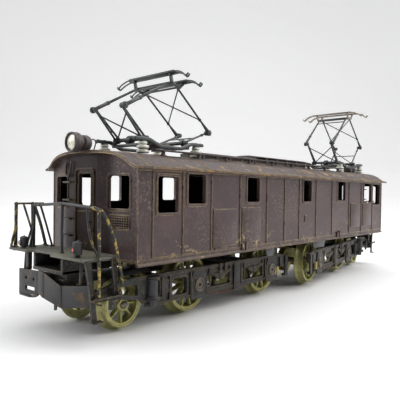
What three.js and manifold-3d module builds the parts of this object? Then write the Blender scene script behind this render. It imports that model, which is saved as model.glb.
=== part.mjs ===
// Model electric locomotive, 1:80 on 16.5 mm gauge, as an assembly of separate parts.
// Millimetres, +Z up, X along the locomotive, Y across it. Heights are from the wheel-flange
// bottoms, X and Y from the body's centre. The front (number one) end is at -X.
// In part names left is +Y and right is -Y. Each truck is built in its own frame, about its
// kingpin and facing -X; the rear one is then turned round, so its sides swap.
// The whole is placed with its origin at the bottom centre of its bounding box.
import * as THREE from "three";
import { mergeVertices } from "three/addons/utils/BufferGeometryUtils.js";
import Module from "manifold-3d";

const wasm = await Module();
wasm.setup();

// ---------------------------------------------------------------- shared dimensions
const ORIGIN_X = 0.845; // bottom centre of the bounding box, from the body's centre
const ORIGIN_Y = 1.95; // off centre because the rear truck stands turned
const PIVOT_X = 38.6; // kingpins at +-PIVOT_X
const REAR_YAW = (8 * Math.PI) / 180; // the rear truck's swing on its kingpin
const KINGPIN_R = 1.3;
const KINGPIN_BORE_R = 1.42;

// half profile of the roof's outer skin: [y, z] from the crown to the eave
const ROOF_PROFILE = [
  [0, 44.3], [4, 44.2], [8, 43.98], [11, 43.62], [13, 43.1], [14.7, 42.35],
  [16, 41.5], [16.9, 40.9], [17.8, 40.45], [18.7, 40.2], [19.4, 40.1],
];

const PAINT = {
  maroon: { color: 0x5a4748, roughness: 0.62, metalness: 0.15 },
  roof: { color: 0x5d4b4b, roughness: 0.6, metalness: 0.15 },
  black: { color: 0x1e1f20, roughness: 0.55, metalness: 0.3 },
  frame: { color: 0x2c2d2f, roughness: 0.6, metalness: 0.3 },
  deck: { color: 0x5c5b50, roughness: 0.6, metalness: 0.35 },
  brass: { color: 0x8c8340, roughness: 0.42, metalness: 0.85 },
  steel: { color: 0x8a8c90, roughness: 0.35, metalness: 0.9 },
  ceramic: { color: 0xd9d6cc, roughness: 0.35, metalness: 0.0 },
  lens: { color: 0xd8d2c0, roughness: 0.12, metalness: 0.1 },
};

// ---------------------------------------------------------------- helpers
const SIDES = [-1, 1]; // signs for the two sides, or the two ends

// closed manifold from a three.js geometry, turned right side out if its faces point inwards
function solid(geometry) {
  geometry.deleteAttribute("normal");
  geometry.deleteAttribute("uv");
  const merged = mergeVertices(geometry, 1e-5);
  const vertProperties = new Float32Array(merged.attributes.position.array);
  const triVerts = new Uint32Array(merged.index.array);
  const build = () => new wasm.Manifold(new wasm.Mesh({ numProp: 3, vertProperties, triVerts }));
  const result = build();
  if (result.volume() >= 0) return result;
  for (let i = 0; i < triVerts.length; i += 3) {
    [triVerts[i + 1], triVerts[i + 2]] = [triVerts[i + 2], triVerts[i + 1]];
  }
  return build();
}

// box between pairs of bounds, each pair in either order
function box(x0, x1, y0, y1, z0, z1) {
  const size = [x1 - x0, y1 - y0, z1 - z0].map(Math.abs);
  const centre = [(x0 + x1) / 2, (y0 + y1) / 2, (z0 + z1) / 2];
  return solid(new THREE.BoxGeometry(...size).translate(...centre));
}

// round rod between two points
function rod(from, to, radius, segments) {
  const start = new THREE.Vector3(...from);
  const end = new THREE.Vector3(...to);
  const along = end.clone().sub(start);
  const geometry = new THREE.CylinderGeometry(radius, radius, along.length(), segments);
  const cylinderAxis = new THREE.Vector3(0, 1, 0);
  const turn = new THREE.Quaternion().setFromUnitVectors(cylinderAxis, along.normalize());
  geometry.applyQuaternion(turn);
  geometry.translate(...start.add(end).multiplyScalar(0.5).toArray());
  return solid(geometry);
}

// wire of five-sided section, straight between two points or curved through more
function wire(radius, points) {
  const sectionSides = 5;
  const stepsPerSpan = 2;
  if (points.length === 2) return rod(...points, radius, sectionSides);
  const vectors = points.map((point) => new THREE.Vector3(...point));
  const section = [];
  for (let i = 0; i < sectionSides; i++) {
    const angle = (i / sectionSides) * 2 * Math.PI;
    section.push(new THREE.Vector2(radius * Math.cos(angle), radius * Math.sin(angle)));
  }
  const shape = new THREE.Shape(section);
  shape.closePath();
  return solid(new THREE.ExtrudeGeometry(shape, {
    steps: (points.length - 1) * stepsPerSpan,
    extrudePath: new THREE.CatmullRomCurve3(vectors, false, "catmullrom", 0.25),
    bevelEnabled: false,
    curveSegments: 1,
  }));
}

// polygon extruded along an axis; its points are [x, y] for "z", [x, z] for "y", [y, z] for "x"
function prism(outline, axis, from, to, holes = []) {
  const vectors = (points) => points.map(([u, v]) => new THREE.Vector2(u, v));
  const shape = new THREE.Shape(vectors(outline));
  for (const hole of holes) shape.holes.push(new THREE.Path(vectors(hole)));
  const depth = Math.abs(to - from);
  const options = { depth, bevelEnabled: false, steps: 1, curveSegments: 1 };
  const geometry = new THREE.ExtrudeGeometry(shape, options);
  geometry.translate(0, 0, Math.min(from, to));
  const xAxis = new THREE.Vector3(1, 0, 0);
  const yAxis = new THREE.Vector3(0, 1, 0);
  const zAxis = new THREE.Vector3(0, 0, 1);
  const basis = new THREE.Matrix4();
  if (axis === "y") basis.makeBasis(xAxis, zAxis, yAxis);
  if (axis === "x") basis.makeBasis(yAxis, zAxis, xAxis);
  return solid(geometry.applyMatrix4(basis));
}

// half profile of [radius, distance along the axis] turned about an axis through `at`
function turned(profile, segments, axis, at = [0, 0, 0]) {
  const points = profile.map(([radius, along]) => new THREE.Vector2(radius, along));
  const geometry = new THREE.LatheGeometry(points, segments);
  if (axis === "z") geometry.rotateX(Math.PI / 2);
  if (axis === "x") geometry.rotateZ(-Math.PI / 2);
  return solid(geometry.translate(...at));
}

const join = (...solids) => solids.reduce((sum, next) => sum.add(next));
const cut = (blank, ...tools) => tools.reduce((left, tool) => left.subtract(tool), blank);
const mirrorY = (shape) => shape.mirror([0, 1, 0]);

// rectangle with its corners cut off at 45 degrees
const chamfered = (u0, u1, v0, v1, corner = 0.6) => [
  [u1, v1 - corner], [u1 - corner, v1], [u0 + corner, v1], [u0, v1 - corner],
  [u0, v0 + corner], [u0 + corner, v0], [u1 - corner, v0], [u1, v0 + corner],
];

// half outline from the centre plane outwards, completed with its mirror image
const bothHalves = (half) => [
  ...half.slice().reverse().map(([y, z]) => [-y, z]),
  ...half.slice(1),
];

const scene = new THREE.Group();
function add(group, name, shape, look) {
  const { vertProperties, triVerts } = shape.getMesh();
  const geometry = new THREE.BufferGeometry();
  const position = new THREE.BufferAttribute(Float32Array.from(vertProperties), 3);
  geometry.setAttribute("position", position);
  geometry.setIndex(new THREE.BufferAttribute(triVerts, 1));
  geometry.computeVertexNormals();
  const mesh = new THREE.Mesh(geometry, new THREE.MeshStandardMaterial(PAINT[look]));
  mesh.name = name;
  group.add(mesh);
}

// ---------------------------------------------------------------- body shell and roof
const BODY_CORNER_X = 74.5; // body corner
const BODY_END_X = 76.6; // centre facet of each end
const BODY_FACET_Y = 4.8; // half width of the centre facet
const BODY_Y = 17.5; // half width of the body
const SILL_Z = 16.6;
const END_SILL_Z = 17.5;
const END_SILL_Y = 16.9; // half width of the raised end sill
const WALL = 0.9;
const ROOF_END_X = 78.2;
const ROOF_CORNER_X = 76.1;
const ROOF_FACET_Y = 5.1;
const ROOF_T = 0.65;
const ROOF_FIT = 0.1; // gap between the wall tops and the roof
const EAVE_Y = 19.4;
const EAVE_LIP_Z = 39.45;
const EAVE_INNER_Y = 18.95;
const EAVE_INNER_Z = 39.72; // where the roof's underside meets the lip

// side windows: [x0, x1, z0, z1]; only the second and third differ between the sides
const RIGHT_WINDOWS = [
  [-68.2, -61.2, 29.1, 38.0], [-57.5, -50.8, 31.2, 38.9], [-31.7, -25.4, 31.5, 38.8],
  [1.8, 7.4, 31.4, 38.9], [29.0, 35.6, 31.6, 39.0], [54.6, 62.2, 30.6, 38.9],
  [64.2, 72.2, 29.6, 38.7],
];
const LEFT_WINDOWS = Object.assign([...RIGHT_WINDOWS], {
  1: [-57.5, -51.5, 31.2, 38.9],
  2: [-33.4, -27.0, 31.4, 39.0],
});
// end windows, one in each oblique facet and one in the centre facet: [y0, y1, z0, z1, corner]
const END_WINDOWS = [
  [-15.1, -8.6, 30.1, 37.9, 0.6],
  [8.6, 15.1, 30.1, 37.9, 0.6],
  [-2.5, 2.5, 30.5, 38.6, 0.9],
];

// eight-sided plan: straight sides, and a centre facet between two oblique ones at each end
const bodyPlan = (endX, cornerX, facetY, sideY) => [
  [-endX, -facetY], [-cornerX, -sideY], [cornerX, -sideY], [endX, -facetY],
  [endX, facetY], [cornerX, sideY], [-cornerX, sideY], [-endX, facetY],
];

// half profile of the roof skin moved inwards by a distance
function skinInside(distance) {
  return ROOF_PROFILE.map(([y, z], i) => {
    if (i === 0) return [y, z - distance];
    const before = ROOF_PROFILE[i - 1];
    const after = ROOF_PROFILE[Math.min(ROOF_PROFILE.length - 1, i + 1)];
    const dy = after[0] - before[0];
    const dz = after[1] - before[1];
    const length = Math.hypot(dy, dz);
    return [y + (dz / length) * distance, z - (dy / length) * distance];
  });
}

function bodyShell() {
  // the wall tops follow the inside of the roof
  const top = skinInside(ROOF_T + ROOF_FIT).filter(([y]) => y < BODY_Y + 0.3);
  const section = bothHalves([...top, [top[top.length - 1][0], SILL_Z]]);
  const outside = bodyPlan(BODY_END_X, BODY_CORNER_X, BODY_FACET_Y, BODY_Y);
  const inside = bodyPlan(
    BODY_END_X - WALL, BODY_CORNER_X - WALL, BODY_FACET_Y - 0.1, BODY_Y - WALL);
  let body = prism(outside, "z", SILL_Z, 50).intersect(prism(section, "x", -90, 90));
  body = cut(body, prism(inside, "z", SILL_Z - 2, 60));
  for (const end of SIDES) {
    // the ends stop higher than the side skirts
    const sillX = end * (BODY_CORNER_X - 0.4);
    body = cut(body, box(end * 90, sillX, -END_SILL_Y, END_SILL_Y, 10, END_SILL_Z));
  }
  for (const [side, windows] of [[-1, RIGHT_WINDOWS], [1, LEFT_WINDOWS]]) {
    for (const opening of windows) {
      body = cut(body, prism(chamfered(...opening), "y", side * 15, side * 19));
    }
  }
  for (const end of SIDES) {
    for (const opening of END_WINDOWS) {
      body = cut(body, prism(chamfered(...opening), "x", end * 73, end * 78));
    }
  }
  return body;
}

function roofShell() {
  const outside = bothHalves([...ROOF_PROFILE, [EAVE_Y, EAVE_LIP_Z]]);
  const inside = bothHalves([
    ...skinInside(ROOF_T).slice(0, -1),
    [EAVE_INNER_Y, EAVE_INNER_Z],
    [EAVE_INNER_Y, EAVE_LIP_Z - 1],
  ]);
  const plan = bodyPlan(ROOF_END_X, ROOF_CORNER_X, ROOF_FACET_Y, EAVE_Y + 0.2);
  const shell = cut(prism(outside, "x", -90, 90), prism(inside, "x", -95, 95));
  return shell.intersect(prism(plan, "z", 30, 60));
}

add(scene, "body_shell", bodyShell(), "maroon");
add(scene, "roof_shell", roofShell(), "roof");

// ---------------------------------------------------------------- floor, kingpins
const FLOOR_X = 72.6; // half length
const FLOOR_Y = 16.4; // half width
const FLOOR_Z0 = 18.3;
const FLOOR_Z1 = 19.3;
const LUG_T = 0.8;
const LUG_TOP_Z = 25;

// kingpin, headed above the floor: [radius, z]
const KINGPIN_PROFILE = [
  [0, 14.5], [KINGPIN_R, 14.5], [KINGPIN_R, 19.45], [2.6, 19.45], [2.6, 20.6], [0, 20.6],
];

function floorPlate() {
  let floor = box(-FLOOR_X, FLOOR_X, -FLOOR_Y, FLOOR_Y, FLOOR_Z0, FLOOR_Z1);
  // opening over the motor, wide enough for the truck to swing
  floor = cut(floor, box(18.5, 36.0, -10.4, 10.4, 17, 21));
  // upright lugs along both edges
  for (const x of [-60, 0, 60]) {
    for (const side of SIDES) {
      const inner = side * (FLOOR_Y - LUG_T);
      const lug = box(x - 3, x + 3, inner, side * FLOOR_Y, FLOOR_Z1 - 0.2, LUG_TOP_Z);
      floor = join(floor, lug);
    }
  }
  for (const end of SIDES) {
    const x = end * PIVOT_X;
    floor = cut(floor, rod([x, 0, 17], [x, 0, 21], KINGPIN_BORE_R, 12));
  }
  return floor;
}

add(scene, "floor_plate", floorPlate(), "frame");
add(scene, "kingpin_front", turned(KINGPIN_PROFILE, 12, "z", [-PIVOT_X, 0, 0]), "steel");
add(scene, "kingpin_rear", turned(KINGPIN_PROFILE, 12, "z", [PIVOT_X, 0, 0]), "steel");

// ---------------------------------------------------------------- roof fittings
const HEADLIGHT_AT = [-81.1, 0, 46.05]; // centre of the front headlight's face
const BOARD_POST_X = [-60, -46, -33.5, -21.5, -8, 5, 17.6, 30.8, 43];
const BOARD_POST_Y = 10.3; // edge of the posts nearest the centre plane
// profiles along X from the headlight's face: [radius, distance]
const LAMP_PROFILE = [
  [0, 0], [2.05, 0], [2.5, 0.35], [2.5, 2.2], [1.6, 2.7], [1.6, 5.2], [1.2, 5.8], [0, 5.8],
];
const LAMP_RECESS = [[0, -0.5], [2.1, -0.5], [2.1, 0.75], [0, 0.75]];
const LENS_PROFILE = [[0, 0.12], [1.2, 0.2], [1.98, 0.45], [1.98, 0.7], [0, 0.7]];

// height of the roof's outer skin at a distance from the centre plane
function roofZ(y) {
  const i = ROOF_PROFILE.findIndex(([profileY]) => y <= profileY);
  const [y0, z0] = ROOF_PROFILE[i - 1];
  const [y1, z1] = ROOF_PROFILE[i];
  return z0 + ((z1 - z0) * (y - y0)) / (y1 - y0);
}

// stepped drum on a saddle bracket
function headlight() {
  const onAxis = (profile) => turned(profile, 16, "x", HEADLIGHT_AT);
  const drum = cut(onAxis(LAMP_PROFILE), onAxis(LAMP_RECESS));
  return join(drum, box(-77.6, -76.2, -1.2, 1.2, 44.35, 46));
}

// plank on posts along the +Y side of the roof
function runningBoard() {
  const posts = BOARD_POST_X.map((x) =>
    box(x - 0.45, x + 0.45, BOARD_POST_Y, 11.2, roofZ(BOARD_POST_Y) + 0.06, 44.9));
  return join(box(-63.5, 46.5, 9.9, 11.7, 44.72, 45.15), ...posts);
}

// a low cover, then a raised one behind it, both slotted through their sides
function roofVentilator() {
  const covers = join(
    box(-37.5, -9.5, -5, 5, 44.36, 46.5),
    box(-10, 26, -5.2, 5.2, 44.36, 47.4),
  );
  const highSlots = [-8.6, -1.4, 5.8, 13.0, 20.2].map((x) => box(x, x + 5.4, -7, 7, 45.1, 46.6));
  const lowSlots = [-35.5, -28.5, -21.5, -14.5].map((x) => box(x, x + 5, -7, 7, 45.1, 45.9));
  return cut(covers, ...highSlots, ...lowSlots);
}

for (const [tag, turn] of [["front", 0], ["rear", 180]]) {
  const lens = turned(LENS_PROFILE, 16, "x", HEADLIGHT_AT);
  add(scene, "headlight_" + tag, headlight().rotate([0, 0, turn]), "maroon");
  add(scene, "headlight_lens_" + tag, lens.rotate([0, 0, turn]), "lens");
}
add(scene, "running_board_right", mirrorY(runningBoard()), "maroon");
add(scene, "running_board_left", runningBoard(), "maroon");
add(scene, "roof_ventilator", roofVentilator(), "maroon");

// ---------------------------------------------------------------- wheelsets
const AXLE_LEAD = -33.8; // axle places, from the kingpin
const AXLE_OUTER = -10.4;
const AXLE_INNER = 26.0;
const WHEEL_BACK_Y = 7.25;
const WHEEL_FACE_Y = 10.35;
const JOURNAL_R = 1.0;
const JOURNAL_BORE_R = 1.07;
const RIM_T = 1.15; // tread to the outer edge of the spoke openings
const SPOKE_HALF_W = 0.4;
const GEAR_R = 4.6;
// openingShift turns the openings by half pitches: a leading wheel has a spoke straight down,
// a driving wheel an opening
const LEAD_WHEEL = {
  tread: 5.55, flange: 6.55, hub: 1.9, spokes: 8, openingShift: 1, axleHalf: 11,
};
const DRIVER_WHEEL = {
  tread: 7.8, flange: 8.8, hub: 2.35, spokes: 12, openingShift: 0, axleHalf: 13.5,
};

// spoked wheel on the +Y side, centred on its axle
function wheel({ tread, flange, hub, spokes, openingShift }) {
  const disc = turned([
    [0, WHEEL_BACK_Y], [flange, WHEEL_BACK_Y], [flange, WHEEL_BACK_Y + 0.55],
    [tread, WHEEL_BACK_Y + 0.95], [tread, WHEEL_FACE_Y], [0, WHEEL_FACE_Y],
  ], 24, "y");
  const rim = tread - RIM_T;
  const halfPitch = Math.PI / spokes;
  const atHub = halfPitch - SPOKE_HALF_W / hub; // half angles of an opening
  const atRim = halfPitch - SPOKE_HALF_W / rim;
  const openings = [];
  for (let k = 0; k < spokes; k++) {
    const middle = (2 * k + openingShift) * halfPitch;
    const outline = [
      [hub, middle - atHub], [rim, middle - atRim], [rim, middle + atRim], [hub, middle + atHub],
    ].map(([radius, angle]) => [radius * Math.cos(angle), radius * Math.sin(angle)]);
    openings.push(prism(outline, "y", WHEEL_BACK_Y - 1, WHEEL_FACE_Y + 1));
  }
  return cut(disc, ...openings);
}

function wheelset(x, spec, geared = false) {
  const axle = rod([0, -spec.axleHalf, 0], [0, spec.axleHalf, 0], JOURNAL_R, 8);
  let set = join(wheel(spec), mirrorY(wheel(spec)), axle);
  if (geared) set = join(set, rod([0, -1.5, 0], [0, 1.5, 0], GEAR_R, 24));
  return set.translate([x, 0, spec.flange]);
}

// ---------------------------------------------------------------- truck frame
const FRAME_Y0 = 12.6; // side frame
const FRAME_Y1 = 13.8;
const DRIVER_Z = DRIVER_WHEEL.flange; // axle heights
const LEAD_Z = LEAD_WHEEL.flange;
// side frame: [x, z]
const SIDE_FRAME = [
  [-45, 9.8], [-40.6, 9.4], [-31.5, 7.9], [-29.6, 6.4], [-25, 5.6], [-20.5, 5.9], [-14, 5.7],
  [-7, 5.7], [5, 5.4], [5, 4.9], [9, 4.9], [9, 5.4], [22, 5.7], [29.5, 5.7], [31, 7],
  [31, 9.8], [36.2, 9.8], [36.2, 12.8], [30, 13.6], [-31.5, 13.6], [-38.6, 13.5],
  [-41, 12.4], [-45, 11.6],
];
const SIDE_FRAME_HOLES = [
  chamfered(-20.6, -15.0, 7.2, 11.6, 0.5),
  chamfered(-6.4, 4.2, 7.4, 11.2, 0.5),
  chamfered(10.0, 21.6, 7.4, 11.2, 0.5),
  [[-38.4, 10.1], [-32.2, 9.1], [-32.2, 11.7], [-38.4, 12.0]],
];
// flanged upright cylinder: [radius, z]
const FLANGED_CYLINDER = [
  [0, 5.9], [1.15, 5.9], [1.15, 7.4], [2.05, 7.4], [2.05, 8.4], [1.4, 8.4],
  [1.4, 12.4], [2.05, 12.4], [2.05, 13.5], [0, 13.5],
];
// members between the side frames: [x0, x1, y0, y1, z0, z1]
const CROSS_MEMBERS = [
  [-1.0, 3.6, -12.8, 12.8, 12.0, 13.3], // at the kingpin
  [12.2, 15.8, -12.8, 12.8, 12.0, 13.3], // towards the inner axle
  [-46.2, 16.0, -3.6, 3.6, 12.0, 13.3], // spine
  [-44.4, -42.4, -12.8, 12.8, 9.9, 11.6], // outer end
  [-44.4, -42.4, -3.2, 3.2, 9.8, 12.6], // outer end up to the spine
];

// side frame on the +Y side
function sideFrame() {
  let side = prism(SIDE_FRAME, "y", FRAME_Y0, FRAME_Y1, SIDE_FRAME_HOLES);
  // post at the inner end
  side = join(side, box(34.6, 36.2, FRAME_Y1 - 0.1, FRAME_Y1 + 0.6, 5.6, 12.8));
  // raised axle box pads with round covers, bored for the journals
  for (const x of [AXLE_OUTER, AXLE_INNER]) {
    const alongAxle = (y0, y1, radius, segments) =>
      rod([x, y0, DRIVER_Z], [x, y1, DRIVER_Z], radius, segments);
    side = join(
      side,
      box(x - 3, x + 3, FRAME_Y1 - 0.1, FRAME_Y1 + 0.55, 5.7, 12.8),
      alongAxle(FRAME_Y1, FRAME_Y1 + 1.1, 2.1, 8),
    );
    side = cut(side, alongAxle(10, FRAME_Y1 + 0.35, JOURNAL_BORE_R, 12));
  }
  return join(
    side,
    // between the leading and the outer driving wheels
    turned(FLANGED_CYLINDER, 12, "z", [-27.8, 14.1, 0]),
    // pillar between the driving wheels
    box(5.6, 8.4, FRAME_Y1 - 0.1, FRAME_Y1 + 0.7, 4.9, 13.4),
  );
}

// inside bearings of the leading axle, hung from arms off the spine
function leadBearings() {
  const x0 = AXLE_LEAD - 2;
  const x1 = AXLE_LEAD + 2;
  const blocks = SIDES.flatMap((side) => [
    box(x0, x1, side * 4.6, side * 6.2, 4.9, 13.3),
    box(x0, x1, side * 3, side * 6.2, 12.0, 13.3),
  ]);
  const bore = rod([AXLE_LEAD, -7.2, LEAD_Z], [AXLE_LEAD, 7.2, LEAD_Z], JOURNAL_BORE_R, 12);
  return cut(join(...blocks), bore);
}

function truckFrame(powered) {
  let frame = join(
    sideFrame(),
    mirrorY(sideFrame()),
    ...CROSS_MEMBERS.map((bounds) => box(...bounds)),
    rod([0, 0, 13.0], [0, 0, 16.9], 3.4, 12), // kingpin boss
    box(-46.0, -41.5, -4.4, 4.4, 13.0, 14.9), // block under the coupler pocket
    leadBearings(),
  );
  // kingpin socket, open at the top
  frame = cut(frame, rod([0, 0, 14.2], [0, 0, 18], KINGPIN_BORE_R, 12));
  // groove in the boss for the worm shaft
  if (powered) frame = cut(frame, box(2.75, 40, -1.35, 1.35, 13.8, 17.4));
  return frame;
}

// ---------------------------------------------------------------- deck, pilot, steps
const DECK_X0 = -49.9;
const DECK_X1 = -39.4;
const DECK_Y = 15.6;
const DECK_Z0 = 19.1;
const DECK_Z1 = 19.7;
const STEP_Z = 10.6; // top of the upper tread
const STEP_Y0 = 14.9;
const STEP_HANGER_Y1 = 15.5;
const PILOT_T = 0.7;
// deck plan with a notch in its outer edge: [x, y]
const DECK_PLAN = [
  [DECK_X0, DECK_Y], [DECK_X0, 6.9], [DECK_X0 + 1.7, 6.3], [DECK_X0 + 2.0, -2.2],
  [DECK_X0 + 1.4, -3.0], [DECK_X0, -3.6], [DECK_X0, -DECK_Y], [DECK_X1, -DECK_Y],
  [DECK_X1, DECK_Y],
];
// upright pilot plates: plan start and end [x, y], then bottom and top z at the start and the end
const LEFT_PILOT_PLATE = [[-46.9, 5.7], [-46.9, 14.75], 8.5, 14.4, 7.8, 14.2];
const OTHER_PILOT_PLATES = [
  [[-47.4, 2.4], [-46.85, 5.9], 8.4, 14.7, 9.2, 14.6],
  [[-47.2, -4.9], [-47.3, 2.6], 7.2, 12.2, 8.4, 14.7],
  [[-45.6, -13.4], [-47.1, -4.7], 8.5, 13.3, 7.1, 12.3],
];
// flat step hangers: [x, z]
const OUTER_HANGER = [
  [-48.6, 18.9], [-47.2, 18.9], [-46.0, 11], [-45.4, 5.4], [-46.7, 5.4], [-47.2, 11],
];
const INNER_HANGER = [[-41.4, 18.9], [-40.2, 18.9], [-39.4, 10.2], [-40.6, 10.2]];

// deck plate with the coupler pocket, open to the outer end, under it
function deck() {
  const pocket = cut(
    box(-48.4, -41.0, -6.4, 6.4, 15.0, DECK_Z0 + 0.2),
    box(-50, -42.2, -5.4, 5.4, 15.9, 18.5),
  );
  return join(prism(DECK_PLAN, "z", DECK_Z0, DECK_Z1), pocket);
}

function uprightPlate(start, end, startBottom, startTop, endBottom, endTop) {
  const dx = end[0] - start[0];
  const dy = end[1] - start[1];
  const length = Math.hypot(dx, dy);
  const outline = [[0, startBottom], [length, endBottom], [length, endTop], [0, startTop]];
  return prism(outline, "y", 0, PILOT_T)
    .rotate([0, 0, (Math.atan2(dy, dx) * 180) / Math.PI])
    .translate([...start, 0]);
}

function pilot() {
  const leftPlate = cut(
    uprightPlate(...LEFT_PILOT_PLATE),
    rod([-49, 11.2, 12.2], [-44, 11.2, 12.2], 0.42, 10),
    rod([-49, 7.6, 12.2], [-44, 7.6, 12.2], 0.42, 10),
    box(-49, -44, 7.2, 11.6, 9.2, 10.2), // slot
  );
  return join(
    leftPlate,
    ...OTHER_PILOT_PLATES.map((plate) => uprightPlate(...plate)),
    box(-47.6, -46.6, 9.5, 14.5, 7.3, 8.4), // bar along the left plate's foot
    box(-47.3, -44.8, 3.2, 4.4, 10.4, 11.6), // stub behind the plates
  );
}

// two hangers and two treads on the +Y side
function steps() {
  return join(
    prism(OUTER_HANGER, "y", STEP_Y0, STEP_HANGER_Y1),
    prism(INNER_HANGER, "y", STEP_Y0, STEP_HANGER_Y1),
    box(-47.2, -39.4, STEP_Y0, 16.9, STEP_Z - 0.35, STEP_Z),
    box(-46.9, -44.0, STEP_Y0, 16.6, 5.4, 5.8),
  );
}

// ---------------------------------------------------------------- railings, marker lamps
const RAIL_Z = 30.7; // top of the railings
const FOOT_Z = DECK_Z1 + 0.12; // feet of the railings and lamps
// wires: [radius, points]
const LEFT_RAILING = [
  [0.42, [[-48.2, 15.1, FOOT_Z], [-48.2, 15.1, RAIL_Z]]], // outer post
  [0.3, [[-49.4, 15.3, FOOT_Z], [-48.2, 15.1, 24.2]]], // its brace
  [0.38, [[-48.2, 15.1, RAIL_Z - 0.2], [-41.6, 13.6, RAIL_Z]]], // top bar
  [0.42, [[-44.2, 14.2, FOOT_Z], [-44.2, 14.2, RAIL_Z - 0.1]]], // middle post
  [0.3, [[-45.6, 14.5, FOOT_Z], [-44.2, 14.2, 24.0]]], // its brace
  [0.27, [[-46.4, 14.7, RAIL_Z - 0.2], [-44.3, 14.2, 23.4]]], // diagonal
  [0.27, [[-41.8, 13.65, RAIL_Z - 0.1], [-40.2, 14.6, FOOT_Z]]], // inner post
];
const RIGHT_RAILING = [
  // top bar across the end
  [0.36, [
    [-44.6, 12.6, RAIL_Z - 0.35], [-45.4, 4, RAIL_Z + 0.1], [-46.6, -3.4, RAIL_Z + 0.5],
    [-46.4, -10.5, RAIL_Z + 0.1], [-46.0, -15.0, RAIL_Z - 0.2],
  ]],
  // post and two stays under it
  [0.36, [[-46.7, -3.5, FOOT_Z], [-46.6, -3.4, RAIL_Z + 0.5]]],
  [0.27, [[-44.6, 12.6, RAIL_Z - 0.35], [-41.4, 13.0, FOOT_Z]]],
  [0.27, [[-45.0, 9.0, RAIL_Z - 0.15], [-40.6, 10.6, FOOT_Z]]],
  // grab rails down the -Y side to the steps
  [0.38, [[-46.0, -15.0, RAIL_Z - 0.2], [-45.8, -16.25, RAIL_Z - 1.0], [-45.6, -16.25, 10.9]]],
  [0.34, [
    [-46.0, -15.0, RAIL_Z - 0.2], [-44.6, -16.25, RAIL_Z - 1.2], [-41.6, -16.25, 24],
    [-39.6, -16.25, 17], [-39.2, -16.25, 13.4], [-39.8, -16.25, 10.9],
  ]],
];

const railing = (wires) => join(...wires.map(([radius, points]) => wire(radius, points)));

// upright can on a foot, with a lens boss facing the outer end
function markerLamp(x, y, radius, height) {
  const top = FOOT_Z + height;
  const bossZ = FOOT_Z + height * 0.45;
  const can = turned([
    [0, FOOT_Z], [0.6, FOOT_Z], [0.6, FOOT_Z + 0.45], [radius, FOOT_Z + 0.45],
    [radius, top - 0.3], [radius - 0.2, top], [0, top],
  ], 14, "z", [x, y, 0]);
  return join(can, rod([x - radius - 0.2, y, bossZ], [x, y, bossZ], 0.58, 12));
}

// ---------------------------------------------------------------- drive
const SHAFT_Z = 15.5; // worm shaft, above the inner driving axle
const MOTOR_TOP_Z = 38.0; // the motor stands up between the side windows

// rod along the shaft line
const onShaft = (x0, x1, radius, segments) =>
  rod([x0, 0, SHAFT_Z], [x1, 0, SHAFT_Z], radius, segments);

// tall block between the driving axles with a bearing boss on each face
function motor() {
  const block = box(4.6, 15.6, -6.6, 6.6, 13.45, MOTOR_TOP_Z);
  const bosses = [onShaft(4.0, 4.8, 2.0, 12), onShaft(15.5, 16.6, 2.0, 12)];
  return cut(join(block, ...bosses), onShaft(0, 20, 1.08, 24));
}

const wormShaft = () => join(onShaft(3.2, 31.5, 1.0, 12), onShaft(21.5, 30.5, 1.95, 16));

// ---------------------------------------------------------------- trucks
function addTruck(tag, x, turn, powered) {
  const truck = new THREE.Group();
  truck.position.set(x, 0, 0);
  truck.rotation.z = turn;
  const part = (name, shape, look) => add(truck, `${name}_${tag}`, shape, look);
  part("truck_frame", truckFrame(powered), "frame");
  part("deck", deck(), "deck");
  part("pilot", pilot(), "frame");
  part("railing_left", railing(LEFT_RAILING), "black");
  part("railing_right", railing(RIGHT_RAILING), "black");
  part("marker_lamp_left", markerLamp(-48.2, 11.2, 1.0, 2.9), "black");
  part("marker_lamp_right", markerLamp(-48.4, -12.2, 1.1, 3.5), "black");
  // the front truck has no left steps
  if (tag === "rear") part("steps_left", steps(), "frame");
  part("steps_right", mirrorY(steps()), "frame");
  part("wheelset_lead", wheelset(AXLE_LEAD, LEAD_WHEEL), "brass");
  part("wheelset_outer", wheelset(AXLE_OUTER, DRIVER_WHEEL), "brass");
  part("wheelset_inner", wheelset(AXLE_INNER, DRIVER_WHEEL, powered), "brass");
  if (powered) {
    part("motor", motor(), "steel");
    part("worm_shaft", wormShaft(), "brass");
  }
  scene.add(truck);
}
addTruck("front", -PIVOT_X, 0, false);
addTruck("rear", PIVOT_X, Math.PI + REAR_YAW, true);

// ---------------------------------------------------------------- pantographs
// X here is from the pantograph's own centre.
const ARM_PIVOT_X = 7.5; // main shafts at +-ARM_PIVOT_X
const ARM_PIVOT_Z = 48.3;
const LOWER_ARM = 10.8; // main shaft to knee
const HEAD_PIN_X = 1.5; // upper arm tops, either side of the head's centre
const STRIP_X = 2.7; // contact strips, either side of the head's centre
const INSULATOR_X = 10.2;
const INSULATOR_Y = 8.0;
// dipped base rail: [x, z]
const BASE_RAIL = [
  [-13.2, 47.35], [-8.2, 47.35], [-4.2, 45.75], [4.2, 45.75], [8.2, 47.35], [13.2, 47.35],
  [13.2, 48.35], [7.9, 48.35], [3.9, 46.75], [-3.9, 46.75], [-7.9, 48.35], [-13.2, 48.35],
];
// ribbed insulator: [radius, z]
const INSULATOR_PROFILE = [
  [0, 44.16], [1.55, 44.16], [1.65, 44.9], [1.0, 45.2], [1.65, 45.6],
  [1.65, 46.2], [1.0, 46.6], [1.15, 47.25], [0, 47.25],
];
// drooping horn on the +Y end of a contact strip: [y, z above the head's centre]
const HORN = [
  [8.8, 2.35], [10.4, 2.2], [12.2, 1.6], [13.6, 0.7], [14.6, -0.1],
  [14.2, -0.35], [13.1, 0.35], [11.8, 1.15], [10.2, 1.75], [8.8, 1.9],
];
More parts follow.
